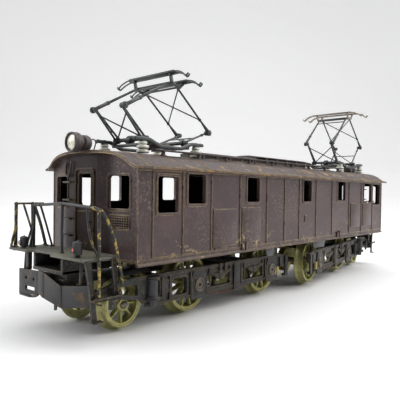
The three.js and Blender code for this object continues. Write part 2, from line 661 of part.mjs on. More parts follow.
// plate tying the strips to the arm tops: [x, z] from the head's centre
const HEAD_PLATE = [
  [-3.3, 1.85], [-1.9, -0.55], [1.9, -0.55], [3.3, 1.85],
  [2.0, 1.85], [1.0, 0.35], [-1.0, 0.35], [-2.0, 1.85],
];
// stays of the upper arms, as [fraction of the arm up from its knee, y] at both ends:
// one cross tie on the front arm, two crossed stays on the rear arm
const FRONT_STAYS = [[[0.84, -6.6], [0.84, 6.6]]];
const REAR_STAYS = [[[0.3, -6.6], [0.96, 6.4]], [[0.3, 6.6], [0.96, -6.4]]];

// two dipped rails, two cross bars and the bearing lugs
function pantographBase() {
  const rails = [1, -1].map((side) =>
    prism(BASE_RAIL, "y", side * (INSULATOR_Y - 0.5), side * (INSULATOR_Y + 0.5)));
  let base = join(...rails);
  for (const x of [-ARM_PIVOT_X, ARM_PIVOT_X]) {
    base = join(base, box(x - 0.5, x + 0.5, -7.6, 7.6, 46.3, 47.3));
    for (const side of SIDES) {
      base = join(
        base,
        box(x - 0.6, x + 0.6, side * 6.15, side * 6.95, 46.5, 48.9),
        box(x - 0.6, x + 0.6, side * 6.5, side * 7.7, 47.0, 47.8),
      );
    }
  }
  return base;
}

// point [x, y, z] at a fraction of the way between two [x, z] points
const between = (from, to, fraction, y) => [
  from[0] + (to[0] - from[0]) * fraction,
  y,
  from[1] + (to[1] - from[1]) * fraction,
];

// main shaft, two side tubes with a knee pin each, and a diagonal
function lowerArm(pivot, knee) {
  let arm = rod(between(pivot, knee, 0, -5.95), between(pivot, knee, 0, 5.95), 0.55, 8);
  for (const side of SIDES) {
    const foot = between(pivot, knee, 0, side * 5.4);
    const top = between(pivot, knee, 1, side * 5.6);
    const pinInner = between(pivot, knee, 1, side * 5.1);
    const pinOuter = between(pivot, knee, 1, side * 6.05);
    arm = join(arm, rod(foot, top, 0.34, 6), rod(pinInner, pinOuter, 0.6, 8));
  }
  const diagonal = [between(pivot, knee, 0, -5.2), between(pivot, knee, 0.78, 5.5)];
  return join(arm, rod(...diagonal, 0.26, 6));
}

// two side tubes with a knee collar each, the head pin and the stays
function upperArm(knee, top, radius, stays) {
  const at = (fraction, y) => between(knee, top, fraction, y);
  let arm = rod(at(1, -6.9), at(1, 6.9), 0.3, 6);
  for (const side of SIDES) {
    const tube = rod(at(0, side * 6.65), at(1, side * 6.65), radius, 6);
    const collar = rod(at(0, side * 6.25), at(0, side * 7.1), 0.8, 8);
    arm = join(arm, tube, collar);
  }
  return join(arm, ...stays.map(([from, to]) => rod(at(...from), at(...to), 0.22, 6)));
}

// two contact strips with slotted horns, tied by two end plates; built about its own centre
function contactHead() {
  const pieces = [];
  for (const x of [-STRIP_X, STRIP_X]) {
    pieces.push(box(x - 0.85, x + 0.85, -9.0, 9.0, 1.75, 2.35));
    for (const side of SIDES) {
      const horn = prism(HORN.map(([y, z]) => [side * y, z]), "x", x - 0.8, x + 0.8);
      pieces.push(cut(horn, box(x - 0.35, x + 0.35, side * 9.6, side * 13.4, -1, 4)));
    }
  }
  for (const side of SIDES) pieces.push(prism(HEAD_PLATE, "y", side * 7.15, side * 7.65));
  return join(...pieces);
}

// Arm rises are the lower arms' angles above level, and tilt lowers the head's +X edge;
// both are in degrees.
function addPantograph(tag, { centreX, frontRise, rearRise, head, tilt }) {
  const part = (name, shape, look) =>
    add(scene, `${name}_${tag}`, shape.translate([centreX, 0, 0]), look);
  const radians = THREE.MathUtils.degToRad;
  const pivot = (end) => [end * ARM_PIVOT_X, ARM_PIVOT_Z];
  const knee = (end, rise) => [
    end * (ARM_PIVOT_X + LOWER_ARM * Math.cos(radians(rise))),
    ARM_PIVOT_Z + LOWER_ARM * Math.sin(radians(rise)),
  ];
  const armTop = (end) => [
    head[0] + end * HEAD_PIN_X * Math.cos(radians(tilt)),
    head[1] - end * HEAD_PIN_X * Math.sin(radians(tilt)),
  ];
  const frontKnee = knee(-1, frontRise);
  const rearKnee = knee(1, rearRise);

  part("pantograph_base", pantographBase(), "black");
  let number = 1;
  for (const x of [-INSULATOR_X, INSULATOR_X]) {
    for (const y of [INSULATOR_Y, -INSULATOR_Y]) {
      part("insulator_" + number++, turned(INSULATOR_PROFILE, 12, "z", [x, y, 0]), "ceramic");
    }
  }
  part("lower_arm_front", lowerArm(pivot(-1), frontKnee), "black");
  part("lower_arm_rear", lowerArm(pivot(1), rearKnee), "black");
  part("upper_arm_front", upperArm(frontKnee, armTop(-1), 0.42, FRONT_STAYS), "black");
  part("upper_arm_rear", upperArm(rearKnee, armTop(1), 0.34, REAR_STAYS), "black");
  const headShape = contactHead().rotate([0, tilt, 0]).translate([head[0], 0, head[1]]);
  part("contact_head", headShape, "black");
}
addPantograph("front", {
  centreX: -54.5, frontRise: 45, rearRise: 21, head: [2.168, 63.959], tilt: 17.8,
});
addPantograph("rear", {
  centreX: 61.0, frontRise: 49, rearRise: 49, head: [0, 68.811], tilt: 0,
});

scene.position.set(-ORIGIN_X, -ORIGIN_Y, 0);
export default scene;
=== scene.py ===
# Looks of the model electric locomotive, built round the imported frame. Lengths are in millimetres until a mesh is made.
import bpy
import bmesh
import math
import numpy as np
from mathutils import Matrix, Vector


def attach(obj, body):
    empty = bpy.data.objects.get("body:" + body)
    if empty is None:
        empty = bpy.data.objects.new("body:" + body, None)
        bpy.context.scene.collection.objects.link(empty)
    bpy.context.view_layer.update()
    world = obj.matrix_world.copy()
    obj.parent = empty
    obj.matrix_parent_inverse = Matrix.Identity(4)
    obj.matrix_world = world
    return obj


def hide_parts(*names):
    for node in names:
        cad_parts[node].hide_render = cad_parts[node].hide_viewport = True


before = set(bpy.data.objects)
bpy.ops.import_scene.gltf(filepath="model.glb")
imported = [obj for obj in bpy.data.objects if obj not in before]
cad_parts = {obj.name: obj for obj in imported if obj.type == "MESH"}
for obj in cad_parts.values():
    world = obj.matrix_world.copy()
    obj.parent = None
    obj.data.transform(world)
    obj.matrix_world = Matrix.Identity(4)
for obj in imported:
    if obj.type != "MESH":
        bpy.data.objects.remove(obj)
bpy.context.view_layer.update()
scene = bpy.context.scene
MM = 0.001
PI = math.pi
OFFSET = (-0.845, -1.95, 0.0)  # lengths below are from the body's centre; the row's origin is the bottom centre of its box


# ------------------------------------------------------------------ mesh building
class Mesh:
    def __init__(self):
        self.v, self.f, self.m, self.s = [], [], [], []
        self.T = Matrix.Identity(4)

    def add(self, verts, faces, m=0, smooth=True):
        P = [self.T @ Vector(p) for p in verts]
        vol = 0.0
        for f in faces:
            a = P[f[0]]
            for i in range(1, len(f) - 1):
                vol += a.dot(P[f[i]].cross(P[f[i + 1]]))
        if vol < 0:
            faces = [tuple(reversed(f)) for f in faces]
        n = len(self.v)
        self.v += [tuple(p) for p in P]
        self.f += [tuple(i + n for i in f) for f in faces]
        mm = m if isinstance(m, (list, tuple)) else [m] * len(faces)
        self.m += list(mm)
        self.s += [smooth] * len(faces)

    def take(self, bm, m=0):
        bm.verts.index_update()
        self.add([v.co.copy() for v in bm.verts], [tuple(v.index for v in f.verts) for f in bm.faces], m)
        bm.free()


def bevelled(bm, b, seg=2, ang=30):
    if b <= 0:
        return
    bmesh.ops.recalc_face_normals(bm, faces=bm.faces[:])
    es = [e for e in bm.edges if len(e.link_faces) == 2 and e.calc_face_angle(0) > math.radians(ang)]
    if es:
        bmesh.ops.bevel(bm, geom=es, offset=b, offset_type="OFFSET", segments=seg, profile=0.5, affect="EDGES", clamp_overlap=True)


def box(mb, x0, x1, y0, y1, z0, z1, b=0.08, m=0, seg=2):
    bm = bmesh.new()
    bmesh.ops.create_cube(bm, size=1)
    for v in bm.verts:
        v.co = Vector(((x0 + x1) / 2 + v.co.x * (x1 - x0), (y0 + y1) / 2 + v.co.y * (y1 - y0), (z0 + z1) / 2 + v.co.z * (z1 - z0)))
    bevelled(bm, b, seg)
    mb.take(bm, m)


def prism(mb, poly, axis, lo, hi, holes=(), b=0.08, m=0, seg=2, ang=30):
    bm = bmesh.new()
    es, first = [], None
    for loop in [poly] + list(holes):
        vs = [bm.verts.new((u, w, 0)) for u, w in loop]
        first = first or vs
        for i in range(len(vs)):
            es.append(bm.edges.new((vs[i], vs[(i + 1) % len(vs)])))
    if holes:
        bmesh.ops.triangle_fill(bm, use_beauty=True, use_dissolve=False, edges=es, normal=(0, 0, 1))
    else:
        bm.faces.new(first)
    ret = bmesh.ops.extrude_face_region(bm, geom=bm.faces[:])
    top = {g for g in ret["geom"] if isinstance(g, bmesh.types.BMVert)}
    for v in bm.verts:
        u, w, h = v.co.x, v.co.y, hi if v in top else lo
        v.co = Vector((u, h, w)) if axis == "y" else Vector((h, u, w)) if axis == "x" else Vector((u, w, h))
    bevelled(bm, b, seg, ang)
    bmesh.ops.recalc_face_normals(bm, faces=bm.faces[:])
    mb.take(bm, m)


def smooth_path(pts, n=6):
    P = [Vector(p) for p in pts]
    if len(P) < 3 or n < 2:
        return P
    out = []
    for i in range(len(P) - 1):
        a, b, c, d = P[max(i - 1, 0)], P[i], P[i + 1], P[min(i + 2, len(P) - 1)]
        for k in range(n):
            t = k / n
            out.append(b + (c - a) * 0.5 * (t ** 3 - 2 * t * t + t) * 0.8 + (c - b) * (3 * t * t - 2 * t ** 3) + (d - b) * 0.5 * (t ** 3 - t * t) * 0.8)
    out.append(P[-1])
    return out


def sweep(mb, pts, section, m=0, scale=None, up=None):
    """A closed 2-D section carried along a path; caps at both ends."""
    P = [Vector(p) for p in pts]
    n, k = len(P), len(section)
    tang = []
    for i in range(n):
        d = (P[min(i + 1, n - 1)] - P[max(i - 1, 0)])
        tang.append(d.normalized() if d.length > 1e-9 else Vector((0, 0, 1)))
    u = Vector(up) if up is not None else (Vector((0, 0, 1)) if abs(tang[0].z) < 0.9 else Vector((1, 0, 0)))
    verts, faces = [], []
    for i in range(n):
        t = tang[i]
        u = (u - t * u.dot(t)).normalized()
        w = t.cross(u)
        s = scale[i] if scale else 1.0
        for a, b in section:
            verts.append(P[i] + w * a * s + u * b * s)
    for i in range(n - 1):
        for j in range(k):
            a, b = i * k + j, i * k + (j + 1) % k
            faces.append((a, b, b + k, a + k))
    faces.append(tuple(range(k))[::-1])
    faces.append(tuple((n - 1) * k + j for j in range(k)))
    mb.add(verts, faces, m)


def ring2(r, seg=12, ry=None):
    return [(r * math.cos(2 * PI * i / seg), (ry or r) * math.sin(2 * PI * i / seg)) for i in range(seg)]


def rod(mb, a, b, r, seg=12, m=0, r2=None, dome=True):
    a, b = Vector(a), Vector(b)
    r2 = r if r2 is None else r2
    d = (b - a).normalized()
    e = min(r, r2) * 0.35 if dome else 0.0
    if e > 0 and (b - a).length > 3 * e:
        P = [a, a + d * e * 0.3, a + d * e, b - d * e, b - d * e * 0.3, b]
        S = [r * 0.62 / r, r * 0.88 / r, 1.0, r2 / r, r2 * 0.88 / r, r2 * 0.62 / r]
        sweep(mb, P, ring2(r, seg), m, S)
    else:
        sweep(mb, [a, b], ring2(r, seg), m, [1.0, r2 / r])


def wire(mb, pts, r, seg=12, n=6, m=0):
    P = smooth_path(pts, n)
    sweep(mb, P, ring2(r, seg), m)
    for p in (P[0], P[-1]):
        ball(mb, p, r * 0.98, m)


def ball(mb, c, r, m=0, seg=12, sx=1, sy=1, sz=1):
    bm = bmesh.new()
    bmesh.ops.create_uvsphere(bm, u_segments=seg, v_segments=max(6, seg // 2 + 1), radius=r)
    for v in bm.verts:
        v.co = Vector((v.co.x * sx, v.co.y * sy, v.co.z * sz)) + Vector(c)
    mb.take(bm, m)


def bar(mb, pts, w, t, up=(0, 0, 1), n=1, b=0.05, m=0):
    """Flat bar: width w across, thickness t along up."""
    hw, ht = w / 2, t / 2
    b = min(b, hw * 0.6, ht * 0.6)
    sec = [(-hw + b, -ht), (hw - b, -ht), (hw, -ht + b), (hw, ht - b), (hw - b, ht), (-hw + b, ht), (-hw, ht - b), (-hw, -ht + b)]
    sweep(mb, smooth_path(pts, n), sec, m, None, up)


def lathe(mb, prof, seg, axis="z", at=(0, 0, 0), m=0):
    verts, rings = [], []
    at = Vector(at)

    def put(r, a, h):
        c, s = r * math.cos(a), r * math.sin(a)
        p = Vector((c, s, h)) if axis == "z" else Vector((h, c, s)) if axis == "x" else Vector((s, h, c))
        return p + at

    for r, h in prof:
        if r < 1e-6:
            verts.append(put(0, 0, h))
            rings.append([len(verts) - 1])
        else:
            s = len(verts)
            verts += [put(r, 2 * PI * i / seg, h) for i in range(seg)]
            rings.append(list(range(s, s + seg)))
    faces = []
    for A, B in zip(rings, rings[1:]):
        for i in range(seg):
            j = (i + 1) % seg
            if len(A) == 1 and len(B) == 1:
                continue
            if len(A) == 1:
                faces.append((A[0], B[i], B[j]))
            elif len(B) == 1:
                faces.append((A[i], B[0], A[j]))
            else:
                faces.append((A[i], B[i], B[j], A[j]))
    if len(rings[0]) > 1 and len(rings[-1]) > 1:  # closed loop profile
        A, B = rings[-1], rings[0]
        for i in range(seg):
            j = (i + 1) % seg
            faces.append((A[i], B[i], B[j], A[j]))
    mb.add(verts, faces, m)


def fillet(prof, r=0.1, n=3):
    """Rounds the corners of a lathe profile or an outline."""
    out = [prof[0]]
    for a, b, c in zip(prof, prof[1:], prof[2:]):
        A, B, C = Vector(a), Vector(b), Vector(c)
        la, lc = (A - B).length, (C - B).length
        if la < 1e-6 or lc < 1e-6:
            continue
        k = min(r, la * 0.45, lc * 0.45)
        p, q = B + (A - B) * k / la, B + (C - B) * k / lc
        for i in range(n + 1):
            t = i / n
            out.append(tuple((1 - t) ** 2 * p + 2 * t * (1 - t) * B + t * t * q))
    out.append(prof[-1])
    return out


def closed_fillet(poly, r=0.3, n=3):
    k = len(poly)
    ext = [poly[-1]] + list(poly) + [poly[0]]
    return fillet(ext, r, n)[1:-1] if k > 2 else poly


def rounded(u0, u1, v0, v1, r=0.6, n=4):
    out = []
    for cu, cv, a0 in ((u1 - r, v1 - r, 0), (u0 + r, v1 - r, 90), (u0 + r, v0 + r, 180), (u1 - r, v0 + r, 270)):
        for k in range(n + 1):
            a = math.radians(a0 + 90 * k / n)
            out.append((cu + r * math.cos(a), cv + r * math.sin(a)))
    return out


def rivet(mb, p, nrm, r=0.22, m=0, seg=8):
    n = Vector(nrm).normalized()
    u = n.orthogonal().normalized()
    w = n.cross(u)
    P = Vector(p)
    verts, faces = [], []
    for rr, h in ((r, -0.05), (r, 0.05), (r * 0.75, 0.13), (r * 0.3, 0.17)):
        for i in range(seg):
            a = 2 * PI * i / seg
            verts.append(P + u * rr * math.cos(a) + w * rr * math.sin(a) + n * h)
    for k in range(3):
        for i in range(seg):
            j = (i + 1) % seg
            faces.append((k * seg + i, k * seg + j, (k + 1) * seg + j, (k + 1) * seg + i))
    faces.append(tuple(range(seg))[::-1])
    faces.append(tuple(3 * seg + i for i in range(seg)))
    mb.add(verts, faces, m)


# ------------------------------------------------------------------ materials
def lin(r, g, b):
    f = lambda c: c / 12.92 if c <= 0.04045 else ((c + 0.055) / 1.055) ** 2.4
    return (f(r / 255), f(g / 255), f(b / 255), 1.0)


class Nodes:
    def __init__(self, name):
        self.mat = bpy.data.materials.new(name)
        self.mat.use_nodes = True
        self.t = self.mat.node_tree
        self.b = self.t.nodes["Principled BSDF"]
        tc = self.t.nodes.new("ShaderNodeTexCoord")
        mp = self.t.nodes.new("ShaderNodeMapping")
        mp.inputs["Location"].default_value = (-OFFSET[0] * MM, -OFFSET[1] * MM, 0)
        self.t.links.new(tc.outputs["Object"], mp.inputs["Vector"])
        self.obj = mp.outputs[0]

    def n(self, kind, **kw):
        nd = self.t.nodes.new(kind)
        for k, v in kw.items():
            if k.startswith("_"):
                setattr(nd, k[1:], v)
            else:
                key = int(k[1:]) if k[0] == "i" and k[1:].isdigit() else k
                s = nd.inputs[key]
                if isinstance(v, bpy.types.NodeSocket):
                    self.t.links.new(v, s)
                else:
                    s.default_value = v
        return nd

    def noise(self, scale, detail=4, rough=0.55, dist=0.0, vec=None):
        nd = self.n("ShaderNodeTexNoise", Scale=scale, Detail=detail, Roughness=rough, Distortion=dist, Vector=vec or self.obj)
        return nd.outputs[0]

    def ramp(self, fac, lo, hi):
        nd = self.n("ShaderNodeMapRange", _interpolation_type="SMOOTHSTEP", Value=fac)
        nd.inputs["From Min"].default_value, nd.inputs["From Max"].default_value = lo, hi
        return nd.outputs[0]

    def math(self, op, a, b=0.0, c=0.0):
        nd = self.t.nodes.new("ShaderNodeMath")
        nd.operation = op
        for i, v in enumerate((a, b, c)):
            if isinstance(v, bpy.types.NodeSocket):
                self.t.links.new(v, nd.inputs[i])
            else:
                nd.inputs[i].default_value = v
        return nd.outputs[0]

    def mix(self, fac, a, b):
        nd = self.t.nodes.new("ShaderNodeMix")
        nd.data_type = "RGBA"
        for i, v in ((0, fac), (6, a), (7, b)):
            if isinstance(v, bpy.types.NodeSocket):
                self.t.links.new(v, nd.inputs[i])
            else:
                nd.inputs[i].default_value = v
        return nd.outputs[2]

    def mixf(self, fac, a, b):
        nd = self.t.nodes.new("ShaderNodeMix")
        nd.data_type = "FLOAT"
        for i, v in ((0, fac), (2, a), (3, b)):
            if isinstance(v, bpy.types.NodeSocket):
                self.t.links.new(v, nd.inputs[i])
            else:
                nd.inputs[i].default_value = v
        return nd.outputs[0]

    def edge(self, radius_mm=0.3, lo=0.01, hi=0.12):
        bv = self.n("ShaderNodeBevel", _samples=4, Radius=radius_mm * MM)
        geo = self.t.nodes.new("ShaderNodeNewGeometry")
        dot = self.t.nodes.new("ShaderNodeVectorMath")
        dot.operation = "DOT_PRODUCT"
        self.t.links.new(bv.outputs[0], dot.inputs[0])
        self.t.links.new(geo.outputs["Normal"], dot.inputs[1])
        return self.ramp(self.math("SUBTRACT", 1.0, dot.outputs["Value"]), lo, hi)

    def xyz(self):
        nd = self.n("ShaderNodeSeparateXYZ", Vector=self.obj)
        return nd.outputs

    def set(self, **kw):
        for k, v in kw.items():
            s = self.b.inputs[k.replace("_", " ")]
            if isinstance(v, bpy.types.NodeSocket):
                self.t.links.new(v, s)
            else:
                s.default_value = v

    def bump(self, height, strength=0.3, dist_mm=0.05):
        nd = self.n("ShaderNodeBump", Height=height, Strength=strength, Distance=dist_mm * MM)
        self.t.links.new(nd.outputs[0], self.b.inputs["Normal"])


BRASS_RAW = lin(178, 150, 88)


def worn_paint(name, c1, c2, brass=BRASS_RAW, rough=0.42, wear=0.5, patch=0.62, edge_mm=0.3, grime=lin(40, 34, 32), extra=None, spec=0.5, streak=True, light=None, specks=None, speck_amt=0.55, gate_scale=240, ends=1.0):
    N = Nodes(name)
    big = N.noise(70, 5, 0.6)
    mid = N.noise(420, 6, 0.62, 0.4)
    fine = N.noise(2600, 4, 0.6)
    col = N.mix(N.ramp(big, 0.35, 0.68), c1, c2)
    if light is not None:
        col = N.mix(N.math("MULTIPLY", N.ramp(mid, 0.52, 0.72), 0.35), col, light)
    col = N.mix(N.math("MULTIPLY", N.ramp(fine, 0.45, 0.75), 0.22), col, grime)
    if streak:
        mp = N.n("ShaderNodeMapping", Vector=N.obj, Scale=(1.0, 1.0, 0.08))
        st = N.noise(900, 4, 0.6, 0, mp.outputs[0])
        col = N.mix(N.math("MULTIPLY", N.ramp(st, 0.5, 0.8), 0.25), col, grime)
    if specks is not None:  # dust and small scratches, thicker in some places
        dens = N.ramp(N.noise(60, 4, 0.6), 0.36, 0.6)
        sp = N.ramp(N.noise(1500, 7, 0.7, 0.4), 0.53, 0.60)
        col = N.mix(N.math("MULTIPLY", N.math("MULTIPLY", sp, dens), speck_amt), col, specks)
    if ends < 1.0:  # painted shade: the slanting end sheets are mixed towards near-black, so they come out darker than the long sides
        x, y, z = N.xyz()
        at_end = N.ramp(N.math("ABSOLUTE", N.math("ADD", x, 0.000845)), 0.0746, 0.0752)
        col = N.mix(N.math("MULTIPLY", at_end, 1.0 - ends), col, lin(22, 14, 15))
    e = N.edge(edge_mm)
    w1 = N.ramp(N.noise(330, 6, 0.65, 0.6), 0.62 - 0.22 * wear, 0.72 - 0.2 * wear)
    ew = N.math("MULTIPLY", e, w1)
    pn = N.noise(300, 9, 0.68, 0.8)
    pm = N.ramp(pn, patch, patch + 0.02)
    if extra is not None:
        gate, thr = extra(N)
        pm = N.math("MAXIMUM", pm, N.math("MULTIPLY", gate, N.ramp(N.noise(gate_scale, 9, 0.7, 0.8), thr, thr + 0.03)))
    worn = N.math("MINIMUM", N.math("MAXIMUM", ew, pm), 1.0)
    if ends < 1.0:
        worn = N.math("MULTIPLY", worn, N.math("SUBTRACT", 1.0, N.math("MULTIPLY", at_end, 0.6)))
    tone = N.mix(N.ramp(mid, 0.3, 0.7), brass, tuple(c * 0.55 for c in brass[:3]) + (1.0,))
    col = N.mix(N.math("MULTIPLY", worn, 0.85), col, tone)
    N.set(Base_Color=col, Metallic=N.math("MULTIPLY", worn, 0.75), Roughness=N.mixf(worn, N.math("ADD", rough - 0.08, N.math("MULTIPLY", mid, 0.2)), 0.4), Specular_IOR_Level=spec if ends >= 1.0 else N.math("SUBTRACT", spec, N.math("MULTIPLY", at_end, spec * 0.75)))
    h = N.math("SUBTRACT", N.math("MULTIPLY", N.noise(3600, 3, 0.6), 0.5), N.math("MULTIPLY", worn, 0.5))
    N.bump(N.math("ADD", h, N.math("MULTIPLY", mid, 0.5)), 0.35, 0.06)
    return N.mat


def metal(name, c1, c2, rough=0.38, metallic=0.9, grime=lin(50, 46, 26), grime_amt=0.5, scale=300, edge_light=None):
    N = Nodes(name)
    a = N.noise(scale, 6, 0.62, 0.5)
    f = N.noise(scale * 9, 4, 0.6)
    col = N.mix(N.ramp(a, 0.35, 0.66), c1, c2)
    col = N.mix(N.math("MULTIPLY", N.ramp(N.noise(scale * 2.3, 6, 0.66), 0.5, 0.72), grime_amt), col, grime)
    if edge_light is not None:
        col = N.mix(N.math("MULTIPLY", N.edge(0.25), 0.7), col, edge_light)
    N.set(Base_Color=col, Metallic=metallic, Roughness=N.math("ADD", rough - 0.1, N.math("MULTIPLY", f, 0.25)))
    N.bump(N.math("ADD", f, a), 0.25, 0.05)
    return N.mat


def roof_gate(N):
    x, y, z = N.xyz()
    g = N.ramp(N.math("MULTIPLY", y, -1.0), 0.0125, 0.0155)
    return N.math("MULTIPLY", g, N.ramp(x, -0.072, -0.05)), 0.55


def rail_gate(N):
    """Paint is gone mostly from the grab rails at the right-hand corner of each deck."""
    x, y, z = N.xyz()
    g = N.ramp(N.math("ABSOLUTE", y), 0.0125, 0.0155)
    return g, 0.53


def side_gate(N):
    x, y, z = N.xyz()
    return N.math("SUBTRACT", 1.0, N.ramp(z, 0.0185, 0.026)), 0.585


# ends=0.28 puts painted shade on the slanting end sheets
M_BODY = worn_paint("body_paint", lin(54, 34, 36), lin(68, 46, 46), rough=0.37, wear=1.1, patch=0.72, edge_mm=0.3, brass=lin(172, 154, 114), grime=lin(34, 22, 23), extra=side_gate, light=lin(92, 72, 68), specks=lin(146, 126, 108), speck_amt=0.36, ends=0.28)
M_ROOF = worn_paint("roof_paint", lin(52, 39, 38), lin(67, 53, 50), rough=0.42, wear=1.3, patch=0.68, edge_mm=0.34, brass=lin(176, 144, 98), grime=lin(42, 33, 32), extra=roof_gate, streak=False, light=lin(92, 78, 71), specks=lin(134, 118, 102))
M_BOARD = worn_paint("walk_paint", lin(62, 53, 52), lin(76, 65, 62), rough=0.5, wear=0.5, patch=0.74, edge_mm=0.2, grime=lin(40, 33, 32), brass=lin(150, 120, 80))
# near-black: painted shade for the inside of the body and other closed spaces where little light gets in; a few small
# parts such as the axle bushes also use it as their own dark colour
M_DARK = worn_paint("inner_dark", lin(16, 15, 14), lin(22, 20, 19), rough=0.8, wear=0.0, patch=0.95, edge_mm=0.1, grime=lin(8, 7, 7), streak=False, spec=0.15)
M_FRAME = worn_paint("frame_black", lin(20, 20, 20), lin(34, 33, 32), rough=0.46, wear=1.1, patch=0.69, edge_mm=0.22, grime=lin(12, 11, 11), brass=lin(140, 122, 88), light=lin(58, 58, 58), spec=0.4, specks=lin(112, 104, 88), speck_amt=0.4, streak=False)
M_PILOT = worn_paint("pilot_black", lin(25, 25, 27), lin(38, 38, 41), rough=0.46, wear=1.1, patch=0.56, edge_mm=0.25, grime=lin(24, 23, 22), brass=lin(104, 86, 66), light=lin(74, 76, 82), streak=False)
M_DECK = worn_paint("deck_paint", lin(76, 75, 69), lin(104, 102, 86), rough=0.52, wear=0.6, patch=0.66, edge_mm=0.25, grime=lin(50, 48, 44), brass=lin(132, 126, 88), light=lin(114, 112, 98), streak=False)
M_WIRE = worn_paint("fitting_black", lin(32, 33, 33), lin(48, 49, 48), rough=0.42, wear=0.1, patch=0.72, edge_mm=0.1, grime=lin(22, 21, 20), brass=lin(186, 168, 84), streak=False)
M_RAIL = worn_paint("railing_black", lin(30, 31, 31), lin(46, 47, 45), rough=0.42, wear=0.6, patch=0.66, edge_mm=0.12, grime=lin(20, 19, 18), brass=lin(196, 170, 96), streak=False, extra=rail_gate, gate_scale=520)
M_PANTO = worn_paint("pantograph_black", lin(34, 38, 38), lin(54, 59, 59), rough=0.38, wear=0.15, patch=0.71, edge_mm=0.12, grime=lin(24, 26, 26), brass=lin(180, 168, 92), streak=False, light=lin(74, 80, 80))
M_WHEEL = metal("wheel_brass", lin(140, 137, 88), lin(172, 168, 114), rough=0.38, metallic=0.6, grime=lin(66, 62, 38), grime_amt=0.75, edge_light=lin(206, 198, 120))
M_BRASS = metal("gear_brass", lin(156, 142, 82), lin(178, 164, 98), rough=0.36, metallic=0.85, grime=lin(80, 72, 40))
M_STEEL = metal("plain_steel", lin(96, 90, 84), lin(124, 118, 110), rough=0.42, metallic=0.8, grime=lin(56, 52, 48), grime_amt=0.4)
M_RUST = metal("rust_red", lin(84, 58, 48), lin(106, 74, 56), rough=0.6, metallic=0.2, grime=lin(48, 34, 28))
M_COPPER = metal("motor_winding", lin(150, 84, 48), lin(176, 104, 62), rough=0.4, metallic=0.8, grime=lin(80, 44, 26))


def ceramic():
    N = Nodes("insulator_cream")
    a = N.noise(260, 5, 0.6)
    col = N.mix(N.ramp(a, 0.4, 0.7), lin(214, 214, 202), lin(190, 188, 172))
    # painted shade: the cream is darkened towards dull brown where ambient occlusion finds the hollows between the
    # ribs
    ao = N.n("ShaderNodeAmbientOcclusion", Distance=0.6 * MM, _samples=4)
    col = N.mix(N.ramp(ao.outputs["AO"], 0.35, 0.85), lin(120, 116, 100), col)
    N.set(Base_Color=col, Roughness=N.math("ADD", 0.2, N.math("MULTIPLY", a, 0.2)), Coat_Weight=0.4, Coat_Roughness=0.15)
    N.bump(N.noise(1800, 3), 0.1, 0.04)
    return N.mat


def jewel(name, c1, c2, emit=0.0):
    N = Nodes(name)
    a = N.noise(900, 5, 0.6)
    col = N.mix(N.ramp(a, 0.4, 0.65), c1, c2)
    N.set(Base_Color=col, Roughness=N.math("ADD", 0.1, N.math("MULTIPLY", a, 0.15)), Coat_Weight=0.7, Coat_Roughness=0.08, Metallic=0.15)
    N.bump(a, 0.15, 0.05)
    return N.mat


M_CERAMIC = ceramic()
M_LENS = jewel("lamp_jewel", lin(226, 222, 204), lin(196, 192, 172))
M_RED = jewel("marker_red", lin(200, 66, 48), lin(168, 48, 38))


def piece(name, mb, mats, body, reps=(), sharp=32):
    me = bpy.data.meshes.new(name)
    v = (np.array(mb.v, float) + np.array(OFFSET)) * MM
    me.from_pydata(v.tolist(), [], mb.f)
    for k in mats:
        me.materials.append(k)
    me.polygons.foreach_set("material_index", mb.m)
    me.polygons.foreach_set("use_smooth", [bool(s) for s in mb.s])
    me.set_sharp_from_angle(angle=math.radians(sharp))
    me.validate()
    me.update()
    ob = bpy.data.objects.new(name, me)
    scene.collection.objects.link(ob)
    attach(ob, body)
    if reps:
        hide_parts(*reps)
    return ob


# ------------------------------------------------------------------ body shell
PROFILE = [(0, 44.3), (4, 44.2), (8, 43.98), (11, 43.62), (13, 43.1), (14.7, 42.35), (16, 41.5), (16.9, 40.9), (17.8, 40.45), (18.7, 40.2), (19.4, 40.1)]


def skin(y):
    a = abs(y)
    for (y0, z0), (y1, z1) in zip(PROFILE, PROFILE[1:]):
        if a <= y1:
            return z0 + (z1 - z0) * (a - y0) / (y1 - y0)
    return 40.1


def wall_frame(P0, P1):
    a, b = Vector((*P0, 0)), Vector((*P1, 0))
    d = (b - a).normalized()
    n = Vector((d.y, -d.x, 0))
    return a, d, n, (b - a).length


def on_wall(P0, P1, thick0, thick1):
    """Matrix that takes (u, w, z) to the wall: u along, w outwards from the outer face, z up."""
    a, d, n, L = wall_frame(P0, P1)
    return Matrix(((d.x, n.x, 0, a.x), (d.y, n.y, 0, a.y), (0, 0, 1, 0), (0, 0, 0, 1)))


